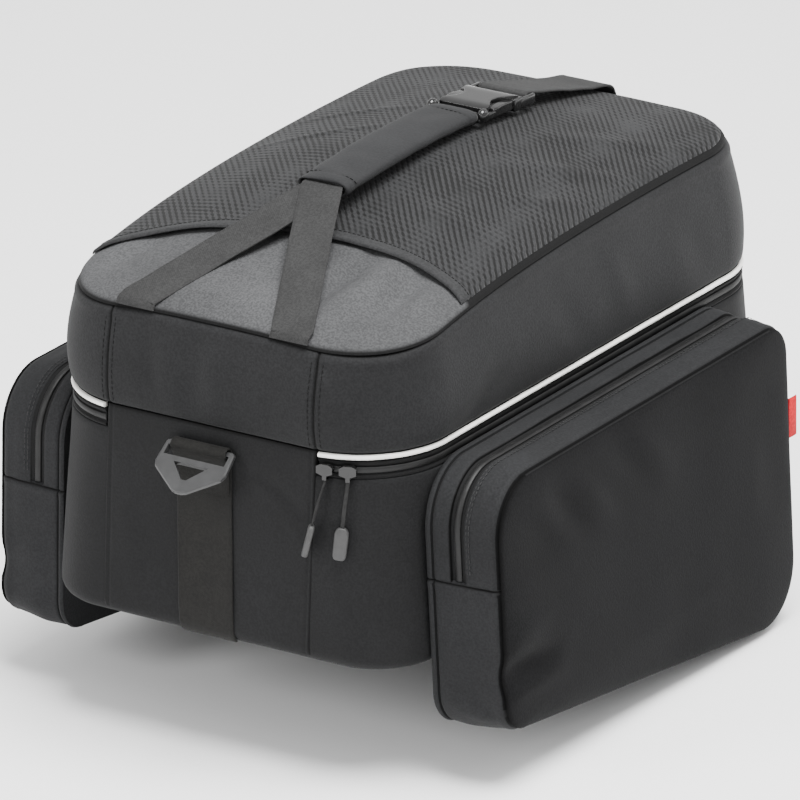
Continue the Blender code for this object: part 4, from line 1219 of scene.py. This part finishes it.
def makeYStraps():
    half = strap["thick"] / 2
    for name, side, layer in (("left", -1, 0), ("right", 1, 1)):
        rise = layer * layerStep + half
        footX = side * strap["spread"]
        footY = lidFront + lid["roll"]
        foot = Vector((footX, footY, lidTop(footX, footY) + gap + half - 0.0004))
        low = Vector((footX, lidFront - 0.0004, lidSeam(footX, lidFront) + 0.0012))
        neck = Vector((0, sleeveStart - gap, channel(sleeveStart) + rise))
        turn = (neck - foot).cross(Vector((0, -(neck - foot).z, (neck - foot).y))).normalized()
        places, acrosses = [], []
        for i in range(4):
            t = i / 4
            places.append(low.lerp(foot, t) + Vector((0, -0.0006, 0.0008)) * math.sin(math.pi * t))
            acrosses.append(right)
        for i in range(41):
            t = i / 40
            sag = 0.0009 * math.sin(math.pi * t) * wander(side, t * 3, 0, 1.7, 3.0)
            place = foot.lerp(neck, t) + up * (rise * math.sin(math.pi * t) * 0.5 + sag)
            blend = smooth(0, 0.16, t) * (1 - smooth(0.84, 1.0, t))
            places.append(place)
            acrosses.append(right.lerp(turn, blend).normalized())
        stop = sleeveEnd if layer else sleeveStart + strap["lap"]
        for i in range(1, 25):
            y = mix(sleeveStart, stop, i / 24)
            places.append(Vector((0, y, channel(y) + rise)))
            acrosses.append(right)
        if layer:
            wrap = barWrap(buckle["bar"] / 2, 1)
            places += wrap
            acrosses += [right] * len(wrap)
        webbing("y_webbing_" + name, places, acrosses, strap["width"], strap["thick"], webbingCloth, 0.0003,
                node="y_strap_" + name)


def makeSleeve():
    wall = strap["wall"]
    half, tall = strap["sleeveWidth"] / 2, strap["room"] / 2 + wall
    stations, around = 64, 56
    outer, inner = [], []
    seams = []
    for i in range(stations + 1):
        t = i / stations
        y = mix(sleeveStart, sleeveEnd, t)
        edge = min(t, 1 - t) * strap["sleeveLength"]
        lip = 1 - 0.10 * math.exp(-edge / 0.002) + 0.03 * bumpAt(edge, 0.006, 0.003)
        lip -= 0.05 * bumpAt(edge, strap["hem"], 0.0014)
        ring, core = [], []
        for k in range(around):
            a = 2 * math.pi * k / around
            c, d = math.cos(a), math.sin(a)
            x = half * squared(c, strap["square"])
            z = tall * squared(d, strap["square"])
            crease = 0.0006 * wander(x, y, tall + z, 55, 2.0)
            crease += 0.0005 * math.sin(y * 210 + 3 * c) * bumpAt(t, 0.0, 0.22)
            middle = sleeveFloor(y) + tall
            ring.append(Vector((x * mix(1, lip, 0.3) + crease * c, y, middle + z * (lip + crease / tall))))
            core.append(Vector(((half - wall) * squared(c, 0.5), y, middle + (tall - wall) * squared(d, 0.5))))
            seams.append(0.5 * bumpAt(edge, strap["hem"], 0.0009))
        outer.append(ring)
        inner.append(core)
    # the sleeve's inside gets painted shade
    seams += [0.6] * len(seams)
    obj = loft("handle_pad", outer + inner[::-1], sleeveNylon, closed=True, node="handle_sleeve", seams=seams,
               angle=180)
    lines = []
    for y in (sleeveStart + strap["hem"], sleeveEnd - strap["hem"]):
        line = []
        for k in range(29):
            a = math.pi * (0.02 + 0.96 * k / 28)
            c, d = math.cos(a), math.sin(a)
            n = Vector((0.35 * c, 0, d)).normalized()
            z = sleeveFloor(y) + tall + tall * squared(d, strap["square"]) * 0.955
            line.append((Vector((half * squared(c, strap["square"]) * 0.985, y, z)), n))
        lines.append(line)
    stitches("handle_stitches", lines, darkThread, "handle_sleeve", 0.0030, 0.0022, 0.0006)


def makeRearStrap():
    bar = socketEnd - buckle["bar"] / 2
    route = barWrap(bar, -1)[::-1]
    high = strap["thick"] / 2 + 0.0028
    start = route[-1]
    knots = [start]
    settle = (0.26, 0.66, 0.90, 1.0, 1.0)
    for i, amount in enumerate(settle):
        y = mix(start.y + 2 * buckle["bar"], lidBack - 0.6 * lid["roll"] - cover["margin"], i / 4)
        knots.append(Vector((0, y, mix(start.z, deck(y) + high, amount))))
    clear = strap["thick"] / 2 + 2 * gap
    seam = lidSeam(0, lidBack)
    knots.append(Vector((0, lidBack + clear, seam + lid["roll"])))
    for share in (0.84, 0.60, 0.35):
        grow = lid["bulge"] * wallBulge(share)
        y = mix(halfLength, lidBack, share) + grow + clear + gap
        knots.append(Vector((0, y, mix(lidBottom, seam, share))))
    places = route[:-1] + throughPoints(knots, 8)
    webbing("rear_webbing", places, [right] * len(places), strap["rearWidth"], strap["thick"], webbingCloth,
            0.0003, node="rear_strap")
    # a box of stitches holds its end on the lid's back
    top, low = knots[-2], knots[-1]
    lines = []
    out = Vector((0, 1, 0))
    for a, b in (((-0.013, 0.1), (0.013, 0.1)), ((-0.013, 0.9), (0.013, 0.9)), ((-0.013, 0.1), (-0.013, 0.9)),
                 ((0.013, 0.1), (0.013, 0.9)), ((-0.013, 0.1), (0.013, 0.9))):
        line = []
        for k in range(9):
            t = k / 8
            p = top.lerp(low, mix(a[1], b[1], t))
            line.append((p + right * mix(a[0], b[0], t) + out * (strap["thick"] / 2), out))
        lines.append(line)
    stitches("rear_stitches", lines, darkThread, "rear_strap")


# side release buckle: low and high corners in its own frame (across, along, up), then for rows
# from front to back the share of the width and the lift
buckleParts = {
    "plate": ((-0.0180, 0.0090, 0.0050), (0.0180, 0.0430, 0.0080),
              ((0.90, -0.0014), (0.92, -0.0002), (0.84, 0.0), (0.72, 0.0), (0.64, 0.0), (0.62, 0.0), (0.66, 0.0),
               (0.78, 0.0), (0.92, 0.0), (0.98, -0.0003), (0.98, -0.0010))),
    "body": ((-0.0125, 0.0160, -0.0022), (0.0125, 0.0400, 0.0052), ()),
    "collar": ((-0.0196, 0.0365, -0.0016), (0.0196, 0.0450, 0.0062), ()),
    "rail": ((0.0174, 0.0430, -0.0010), (0.0200, 0.0583, 0.0052), ()),
    "rearBar": ((-0.0180, 0.0543, 0.0003), (0.0180, 0.0581, 0.0033), ()),
    "frontBar": ((-0.0180, 0.0002, 0.0002), (0.0180, 0.0040, 0.0034), ()),
    "arm": ((0.0138, 0.0010, 0.0000), (0.0185, 0.0175, 0.0042), ()),
    "prong": ((0.0134, 0.0150, 0.0002), (0.0192, 0.0372, 0.0060),
              ((0.55, -0.0004), (0.95, 0.0), (1.0, 0.0004), (1.0, 0.0004), (0.9, 0.0), (0.7, -0.0004))),
    "knob": (0.0178, 0.0042, 0.0044, 0.0043),      # its middle and radius
    "knobShape": (0.72, 1.0, 0.95),
    "edge": 0.0009, "sharp": math.radians(40),
}
buckleFrame = Matrix((right, buckleRun, buckleUp)).transposed().to_4x4()
buckleFrame.translation = buckleOrigin


def pickRow(block, y):
    bm = bmesh.from_edit_mesh(block.data)
    for vert in bm.verts:
        vert.select = abs(vert.co.y - y) < 0.00001
    bm.select_flush_mode()
    bmesh.update_edit_mesh(block.data)


def buckleBlock(part, side=1):
    low, high, rows = buckleParts[part]
    middle = [(a + b) / 2 for a, b in zip(low, high)]
    middle[0] *= side
    bpy.ops.object.select_all(action="DESELECT")
    bpy.ops.mesh.primitive_cube_add(size=1, location=middle)
    block = bpy.context.active_object
    block.scale = [b - a for a, b in zip(low, high)]
    bpy.ops.object.transform_apply(location=True, rotation=True, scale=True)
    if rows:
        bpy.context.tool_settings.mesh_select_mode = (True, False, False)
        bpy.ops.object.mode_set(mode="EDIT")
        bpy.ops.mesh.subdivide(number_cuts=len(rows) - 2)
        for i, (wide, lift) in enumerate(rows):
            y = mix(low[1], high[1], i / (len(rows) - 1))
            pickRow(block, y)
            bpy.ops.transform.resize(value=(wide, 1, 1), center_override=(middle[0], y, middle[2]))
            bpy.ops.transform.translate(value=(0, 0, lift))
        bpy.ops.object.mode_set(mode="OBJECT")
    edge = block.modifiers.new("edge", "BEVEL")
    edge.width = buckleParts["edge"]
    edge.segments = 3
    edge.limit_method = "ANGLE"
    edge.angle_limit = buckleParts["sharp"]
    bpy.ops.object.modifier_apply(modifier="edge")
    return block


def buckleKnob(side):
    x, y, z, radius = buckleParts["knob"]
    bpy.ops.object.select_all(action="DESELECT")
    bpy.ops.mesh.primitive_uv_sphere_add(segments=24, ring_count=14, radius=radius, location=(x * side, y, z))
    knob = bpy.context.active_object
    bpy.ops.object.mode_set(mode="EDIT")
    bpy.ops.transform.resize(value=buckleParts["knobShape"], center_override=(x * side, y, z))
    bpy.ops.object.mode_set(mode="OBJECT")
    bpy.ops.object.transform_apply(location=True, rotation=True, scale=True)
    return knob


def joinBuckle(name, blocks, node):
    bpy.ops.object.select_all(action="DESELECT")
    for block in blocks:
        block.select_set(True)
    bpy.context.view_layer.objects.active = blocks[0]
    bpy.ops.object.join()
    whole = bpy.context.active_object
    whole.name = name
    whole.matrix_world = buckleFrame
    bpy.ops.object.transform_apply(location=True, rotation=True, scale=True)
    bpy.ops.object.shade_smooth_by_angle(angle=buckleParts["sharp"])
    whole.data.materials.append(blackPlastic)
    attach(whole, "bag")
    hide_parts(node)


def makeBuckle():
    plug = [buckleBlock("frontBar")]
    socket = [buckleBlock("plate"), buckleBlock("body"), buckleBlock("collar"), buckleBlock("rearBar")]
    for side in (1, -1):
        plug += [buckleBlock("arm", side), buckleBlock("prong", side), buckleKnob(side)]
        socket.append(buckleBlock("rail", side))
    joinBuckle("buckle_prongs", plug, "buckle_plug")
    joinBuckle("buckle_body", socket, "buckle_socket")


makeYStraps()
makeSleeve()
makeRearStrap()
makeBuckle()
print("straps, handle and buckle")

# front webbing
loop = {"width": 0.0380, "shift": -0.0043, "barHeight": 0.1190, "barRoom": 0.0028, "fold": 0.0180}
ringFront = halfLength + bag["endFlare"] * flareAt(loop["barHeight"]) + gap + strap["thick"] + loop["barRoom"]
ringPlace = Vector((loop["shift"], -ringFront, loop["barHeight"]))


def makeFrontWebbing():
    half = strap["thick"] / 2
    stand = panelSet["thick"] - panelSet["sink"] + gap + half
    places = []
    fillet = bag["fillet"]
    end = halfLength + bag["endFlare"]
    reach = fillet + gap + half
    for i in range(7):
        a = mix(math.radians(50) - math.pi, -math.pi, i / 6)
        places.append(Vector((0, -end + fillet + reach * math.cos(a), fillet + reach * math.sin(a))))
    for i in range(1, 41):
        t = i / 40
        z = mix(fillet, ringPlace.z - 0.0022, t)
        w = mix(gap + half, stand, smooth(0, 0.1, t))
        w += math.sin(math.pi * t) ** 0.5 * max(ridges(0, z, frontCreases), -0.0002)
        places.append(Vector((0, bodyFront(0, z) - w, z)))
    wrap = loop["barRoom"] + half
    for i in range(21):
        a = math.radians(mix(0, 205, i / 20))
        places.append(ringPlace - right * loop["shift"] + Vector((0, wrap * math.cos(a), wrap * math.sin(a))))
    for share in (0.0, 0.2, 0.5, 1.0):
        z = ringPlace.z - wrap * 2 - loop["fold"] * share
        places.append(Vector((0, bodyFront(0, z) - 3 * half - 3 * gap - panelSet["thick"], z)))
    places = [p + right * loop["shift"] for p in places]
    webbing("front_strap", places, [right] * len(places), loop["width"], strap["thick"] - 0.0002, darkWebbing,
            0.0002, node="front_webbing")


makeFrontWebbing()
print("front webbing")

# pull cords and grips
pull = {
    "sliderLength": 0.0100, "sliderWidth": 0.0070, "sliderHeight": 0.0034, "sliderStand": 0.0004,
    "sliderSink": 0.0002, "lug": 0.0026,
    "cord": 0.0024, "drop": 0.0265, "stand": 0.0040, "bow": 0.0012, "grip": 0.0200, "gripWidth": 0.0082,
    "gripThick": 0.0040, "inGrip": 0.0050, "strand": 0.0012,
}


def zipPlace(distance):
    x = bag["hinge"] / 2 + distance
    step = 0.5 * pull["sliderLength"]
    ends = [Vector((a, bodyFront(a, zipBottom), 0)) for a in (x - step, x + step)]
    run = (ends[1] - ends[0]).normalized()
    out = Vector((run.y, -run.x, 0))
    middle = (ends[0] + ends[1]) / 2 + up * (zipBottom + bag["zipHeight"] / 2)
    return middle + out * (gap + pull["sliderStand"] - pull["sliderSink"]), run, out


def makePull(name, distance, lean, turn):
    place, run, out = zipPlace(distance)
    high = pull["sliderWidth"] / 2
    tilt = pull["cord"] * (lean + 4 * pull["bow"]) / pull["drop"] / 2
    top = place + out * (pull["sliderHeight"] / 2) - up * (high + pull["lug"] + gap + tilt)
    gripTop = top - up * pull["drop"] - run * lean
    gripTop.y = bodyFront(gripTop.x, gripTop.z) - pull["stand"]
    if turn:
        gripTop.y -= (pull["gripWidth"] - pull["gripThick"]) / 2 * math.sin(turn)
    route = []
    for i in range(17):
        t = i / 16
        route.append(top.lerp(gripTop, t) + out * pull["bow"] * math.sin(math.pi * t))
    grip = makeGrip(name, route, run, turn)
    # the doubled cord goes on into the grip
    way = (route[-1] - route[-2]).normalized()
    route += [route[-1] + way * pull["inGrip"] * i / 3 for i in (1, 2, 3)]
    strand = pull["strand"] / 2
    rings = []
    for i, p in enumerate(route):
        before, after = route[max(i - 1, 0)], route[min(i + 1, len(route) - 1)]
        along = (after - before).normalized()
        across = Matrix.Rotation(turn * 0.8 + 0.25 * math.sin(i * 0.5), 3, along) @ run
        across = (across - along * across.dot(along)).normalized()
        high = across.cross(along)
        ring = []
        for side in (1, -1):
            for k in range(9):
                a = math.radians(mix(-118, 118, k / 8))
                u, v = strand * (0.98 + math.cos(a)), strand * math.sin(a)
                ring.append(p + across * side * u + high * side * v)
        rings.append(ring)
    length = sum((route[i + 1] - route[i]).length for i in range(len(route) - 1))
    cord = loft("cord_" + name, rings, cordFinish, "flat", "flat", node="pull_cord_" + name, angle=70)
    return length


def makeGrip(name, route, run, turn):
    way = (route[-1] - route[-3]).normalized()
    across = Matrix.Rotation(turn, 3, way) @ run
    across = (across - way * across.dot(way)).normalized()
    high = across.cross(way)
    half, thin = pull["gripWidth"] / 2, pull["gripThick"] / 2
    rings = []
    # share of its length, size there
    shape = ((0.0, 0.42), (0.02, 0.60), (0.06, 0.78), (0.12, 0.92), (0.2, 1.0), (0.5, 1.0), (0.8, 0.98),
             (0.9, 0.93), (0.96, 0.80), (0.99, 0.62), (1.0, 0.45))
    for along, size in shape:
        ring = []
        for k in range(28):
            a = 2 * math.pi * k / 28
            u = half * squared(math.cos(a), 0.55) * size
            v = thin * squared(math.sin(a), 0.55) * min(1.0, size + 0.15)
            if 0.25 < along < 0.85 and abs(u) < half * 0.6:
                v *= 0.86
            ring.append(route[-1] + way * (gap + pull["grip"] * along) + across * u + high * v)
        rings.append(ring)
    return loft("grip_" + name, rings, gripRubber, "flat", "flat", node="pull_grip_" + name)


cordLengths = [makePull("left", 0.0060, 0.0060, math.radians(70)), makePull("right", 0.0185, 0.0016, 0.0)]
print("pull cords", cordLengths)

# side pockets
pocket = {
    "length": 0.3170, "setback": 0.0338, "depth": 0.0470, "top": 0.1172, "dropFront": 0.0349, "dropBack": 0.0678,
    "frontTop": 0.0338, "backTop": 0.0206, "backBottom": 0.0355, "frontBottom": 0.0191, "taper": 0.0035,
    "bulge": 0.0050, "dent": 0.0050, "zip": 0.0090, "zipEnd": 0.0560, "zipShare": 0.43, "seamHeight": 0.0545,
    "groove": 0.0018, "wave": 0.0010, "belly": 0.0016, "zipBead": 0.0006, "seamSink": 0.0010, "seamBead": 0.0007,
    "boundEdge": 0.0008, "boundSink": 0.0010, "faceSink": 0.0020, "faceBead": 0.0006, "faceWave": 0.0009,
}
pocketFront = -halfLength + pocket["setback"]
pocketBack = pocketFront + pocket["length"]
pocketSlant = (pocket["dropBack"] - pocket["dropFront"]) / pocket["length"]

# dents of the face: shares along and up, reach as shares, depth share
pocketDents = (
    (0.03, 0.37, 0.16, 0.07, 0.55),
    (0.16, 0.80, 0.14, 0.14, 0.25),
    (0.55, 0.16, 0.24, 0.10, 0.20),
    (0.93, 0.55, 0.08, 0.20, 0.20),
)
# creases of the face in metres: from y z, to y z, width, height
faceCreases = (
    (-0.140, 0.092, -0.106, 0.062, 0.0070, 0.0014),
    (-0.122, 0.098, -0.088, 0.064, 0.0065, -0.0013),
    (-0.105, 0.102, -0.066, 0.068, 0.0080, 0.0014),
    (-0.060, 0.106, -0.020, 0.070, 0.0080, -0.0010),
    (-0.040, 0.108, 0.000, 0.076, 0.0080, 0.0012),
    (-0.180, 0.007, -0.132, 0.002, 0.0055, -0.0022),
    (-0.176, -0.006, -0.125, -0.010, 0.0080, 0.0014),
    (-0.178, 0.020, -0.140, 0.024, 0.0090, 0.0016),
    (-0.150, -0.030, -0.095, -0.034, 0.0100, 0.0005),
)


# rows beside the seam across the gusset
seamOffsets = [way * offset for offset in (0.0002, 0.0006, 0.0011, 0.0018, 0.0026, 0.0040) for way in (-1, 1)]


def pocketLoop(grow):
    def bottom(y):
        return -pocket["dropFront"] - pocketSlant * (y - pocketFront)

    turns = (
        (pocketFront, bottom(pocketFront), pocket["frontBottom"], 1, 1, 1.5, 1.0),
        (pocketFront, pocket["top"], pocket["frontTop"], 1, -1, 1.0, 0.5),
        (pocketBack, pocket["top"], pocket["backTop"], -1, -1, 0.5, 0.0),
        (pocketBack, bottom(pocketBack), pocket["backBottom"], -1, 1, 0.0, -0.5),
    )
    counts = ((12, 22), (14, 40), (10, 20), (12, 40))
    loopPoints = []
    corners = []
    for y, z, radius, wayY, wayZ, start, stop in turns:
        cy, cz = y + wayY * radius, z + wayZ * radius
        corners.append([(cy + radius * math.cos(math.pi * mix(start, stop, i / 12)),
                         cz + radius * math.sin(math.pi * mix(start, stop, i / 12))) for i in range(13)])
    for i in range(4):
        loopPoints += corners[i][:-1]
        a, b = corners[i][-1], corners[(i + 1) % 4][0]
        shares = [k / counts[i][1] for k in range(counts[i][1])]
        if i in (0, 2):
            # close rows across the seam where the zip ends
            middle = (pocket["seamHeight"] - a[1]) / (b[1] - a[1])
            close = [middle + offset / abs(b[1] - a[1]) for offset in seamOffsets]
            shares = sorted([t for t in shares if abs(t - middle) * abs(b[1] - a[1]) > 0.0045] + close)
        for t in shares:
            loopPoints.append((mix(a[0], b[0], t), mix(a[1], b[1], t)))
    grown = []
    count = len(loopPoints)
    for i in range(count):
        ny = loopPoints[(i + 1) % count][1] - loopPoints[i - 1][1]
        nz = -(loopPoints[(i + 1) % count][0] - loopPoints[i - 1][0])
        size = math.hypot(ny, nz)
        ny, nz = -ny / size, -nz / size
        grown.append((loopPoints[i][0] + ny * grow, loopPoints[i][1] + nz * grow, ny, nz))
    return grown


def pocketInner(z):
    return bag["width"] / 2 + bag["sideFlare"] * flareAt(z) + gap


def pocketDent(y, z):
    total = 0.0
    tall = pocket["top"] + pocket["dropBack"]
    for along, high, reachY, reachZ, amount in pocketDents:
        a = (y - pocketFront - along * pocket["length"]) / (reachY * pocket["length"])
        b = (z + pocket["dropBack"] - high * tall) / (reachZ * tall)
        total += amount * pocket["dent"] * max(0, 1 - a * a) ** 1.5 * max(0, 1 - b * b) ** 1.5
    return total


def onZip(z):
    # how much of the zip's groove is at this height
    return smooth(pocket["zipEnd"] - 0.0012, pocket["zipEnd"] + 0.0004, z)


# creases of the gusset's upright parts: along its depth and height, width, height
gussetCreases = (
    (0.014, 0.030, 0.046, 0.014, 0.0040, -0.0012),
    (0.010, 0.016, 0.044, 0.006, 0.0050, 0.0012),
    (0.012, -0.006, 0.046, -0.022, 0.0040, -0.0012),
    (0.010, -0.016, 0.040, -0.030, 0.0050, 0.0010),
    (0.020, 0.046, 0.040, 0.034, 0.0040, 0.0006),
)


def makePocket(name, side):
    base = pocketLoop(0)
    count = len(base)
    centre = ((pocketFront + pocketBack) / 2, (pocket["top"] - pocket["dropBack"]) / 2)
    rings, seams = [], []

    def gusset(depthShare):
        ring, dark = [], []
        zipHalf = pocket["zip"] / pocket["depth"] / 2
        fromZip = abs(depthShare - pocket["zipShare"])
        for y, z, ny, nz in pocketLoop(pocket["taper"] * (1 - depthShare)):
            groove = onZip(z) if nz > -0.2 else 0.0
            belly = math.sin(math.pi * depthShare)
            w = pocket["wave"] * belly * wander(y, z, depthShare * 0.1, 26, side * 7.0)
            w += pocket["belly"] * belly * (1 - groove * (1 - smooth(zipHalf, zipHalf * 3, fromZip)))
            w -= pocket["groove"] * groove * (1 - smooth(zipHalf * 0.90, zipHalf * 1.06, fromZip))
            w += pocket["zipBead"] * groove * bumpAt(fromZip, zipHalf * 1.45, zipHalf * 0.30)
            # d darkens the edges of the zip's groove, the seam across, the bound edge's sunk line and the face
            # seam: partly seam lines, partly painted shade in these grooves
            d = groove * bumpAt(fromZip, zipHalf * 1.02, zipHalf * 0.12)
            # seam across the gusset where the zip ends, on both upright edges
            if abs(ny) > 0.8:
                across = bumpAt(z, pocket["seamHeight"], 0.0007)
                w -= pocket["seamSink"] * across
                w += pocket["seamBead"] * bumpAt(z, pocket["seamHeight"] - 0.0026, 0.0014)
                d = max(d, across)
                # creases that run to the pinch at the face's seam
                w += belly ** 0.5 * ridges(depthShare * pocket["depth"], z, gussetCreases)
            # bound edge beside the body
            w += pocket["boundEdge"] * bumpAt(depthShare, 0.035, 0.030)
            w -= pocket["boundSink"] * bumpAt(depthShare, 0.090, 0.014)
            d = max(d, bumpAt(depthShare, 0.090, 0.011))
            w -= pocket["faceSink"] * bumpAt(depthShare, 1.0, 0.034)
            w += pocket["faceBead"] * bumpAt(depthShare, 0.90, 0.04)
            d = max(d, bumpAt(depthShare, 1.0, 0.036))
            x = pocketInner(z) + pocket["depth"] * depthShare
            if depthShare > 0.6:
                x -= pocketDent(y, z) * smooth(0.6, 1.0, depthShare) * 0.8
            ring.append(Vector((side * x, y + ny * w, z + nz * w)))
            dark.append(d)
        return ring, dark

    def face(share, outer):
        ring = []
        grow = 0 if outer else pocket["taper"]
        for y, z, ny, nz in pocketLoop(grow):
            y, z = mix(centre[0], y, share), mix(centre[1], z, share)
            if outer:
                edge = math.sqrt(max(1 - share ** 5, 0))
                puff = smooth(1.0, 0.93, share)
                x = pocketInner(z) + pocket["depth"] + pocket["bulge"] * edge - pocketDent(y, z)
                x += puff * (ridges(y, z, faceCreases) + pocket["faceWave"] * wander(y, z, side, 18, 2.0))
                x -= 0.0004 * bumpAt(share, 1.0, 0.006)
            else:
                x = pocketInner(z)
            ring.append(Vector((side * x, y, z)))
        return ring

    for share in (0.4, 0.8):
        rings.append(face(share, False))
        seams += [0.0] * count
    edges = (-0.26, -0.19, -0.15, -0.125, -0.112, -0.104, -0.098, -0.090, -0.08, -0.04)
    nearZip = [pocket["zipShare"] + way * offset for offset in edges for way in (1, -1)] + [pocket["zipShare"]]
    farther = [0.0, 0.015, 0.035, 0.055, 0.07, 0.08, 0.09, 0.10, 0.115, 0.14, 0.74, 0.79, 0.84, 0.88, 0.92,
               0.945, 0.96, 0.975, 0.988, 1.0]
    for depth in sorted(farther + nearZip):
        ring, dark = gusset(depth)
        rings.append(ring)
        seams += dark
    for share in (0.996, 0.988, 0.975, 0.955, 0.93, 0.90, 0.87, 0.84, 0.81, 0.78, 0.75, 0.72, 0.69, 0.66, 0.63,
                  0.60, 0.56, 0.52, 0.47, 0.42, 0.36, 0.30, 0.23, 0.16, 0.08):
        rings.append(face(share, True))
        # the face's seam line, partly painted shade in its groove
        seams += [bumpAt(share, 1.0, 0.013)] * count
    middleZ = centre[1]
    start = Vector((side * pocketInner(middleZ), centre[0], middleZ))
    outX = pocketInner(middleZ) + pocket["depth"] + pocket["bulge"] - pocketDent(centre[0], middleZ)
    outX += pocket["faceWave"] * wander(centre[0], middleZ, side, 18, 2.0)
    end = Vector((side * outX, centre[0], middleZ))
    cloth = loft("pocket_cloth_" + name, rings, pocketNylon, start, end, node="pocket_" + name, seams=seams)
    cloth.data.materials.append(shadedPocketFace)
    # faces that turn to the side get the darker copy of the cloth: painted shade
    for polygon in cloth.data.polygons:
        if polygon.normal.x * side > 0.75:
            polygon.material_index = 1


def makePocketZip(name, side):
    line = []
    for y, z, ny, nz in pocketLoop(pocket["taper"] * (1 - pocket["zipShare"])):
        x = pocketInner(z) + pocket["depth"] * pocket["zipShare"]
        line.append((Vector((side * x, y, z)), Vector((0, ny, nz))))
    # from where it rises above the zip's end, over the top and down to it again
    above = [place.z > pocket["zipEnd"] for place, out in line]
    first = next(i for i in range(len(line)) if above[i] and not above[i - 1])
    turned = line[first:] + line[:first]
    ordered = turned[:sum(above)]
    even = evenSteps(ordered, 0.0007)
    half = pocket["zip"] / 2 + 0.0004
    low = -0.0013
    edge = [(half, low - 0.0012), (half, low + 0.0006), (half - 0.0012, low + 0.0004), (0.0022, low)]
    tape = [(-u, v) for u, v in edge] + edge[::-1]
    rings = [[p + right * u + n * v for u, v in tape] for p, n in even[::3]]
    loft("pocket_tape_" + name, rings, tapeCloth, "flat", "flat", node="pocket_zip_" + name)
    zipCoil("pocket_coil_" + name, even, right, 0.0023, 0.0010, 0.0, low + 0.0004, "pocket_zip_" + name)
    # two rows of stitches beside the zip
    lines = []
    for offset in (-0.0066, 0.0066, 0.0086):
        belly = math.sin(math.pi * (pocket["zipShare"] + offset / pocket["depth"]))
        rise = 0.0002 + pocket["belly"] * belly * smooth(0.0045, 0.0135, abs(offset))
        lines.append([(p + right * side * offset + n * rise, n) for p, n in even[8:-8:6]])
    stitches("pocket_stitches_" + name, lines, threadFinish, "pocket_" + name, 0.0034, 0.0024, 0.0005)


for name, side in (("right", 1), ("left", -1)):
    makePocket(name, side)
    makePocketZip(name, side)
print("pockets")

# side tab
tab = {"length": 0.0250, "reach": 0.0090, "thick": 0.0012, "height": 0.0540}


def makeTab():
    x = pocketInner(tab["height"]) + pocket["depth"] - tab["thick"] / 2
    rings = []
    outline = [(-1, -0.6), (-0.96, -1), (0.0, -1), (0.96, -1), (1, -0.6)]
    outline += [(-u, -v) for u, v in outline]
    for i in range(13):
        t = i / 12
        y = pocketBack + 2 * gap + (tab["reach"] - 2 * gap) * math.sin(math.pi / 2 * t)
        thin = tab["thick"] / 2 * (1 - 0.35 * t ** 6)
        bow = 0.0004 * math.sin(math.pi * t)
        ring = []
        for u, v in outline:
            ring.append(Vector((x + thin * v + bow, y, tab["height"] + tab["length"] / 2 * u)))
        rings.append(ring)
    loft("red_tab", rings, tagCloth, "flat", "flat", node="side_tag")


makeTab()
print("tab")

# hard pieces keep their solids and get their own finish
cadFinishes = {
    "d_ring": greyPlastic,
    "zip_slider_left": sliderFinish,
    "zip_slider_right": sliderFinish,
    "pocket_slider_left": sliderFinish,
    "pocket_slider_right": sliderFinish,
}
for node, finish in cadFinishes.items():
    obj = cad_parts[node]
    for slotItem in obj.material_slots:
        slotItem.material = finish
print("hard pieces")
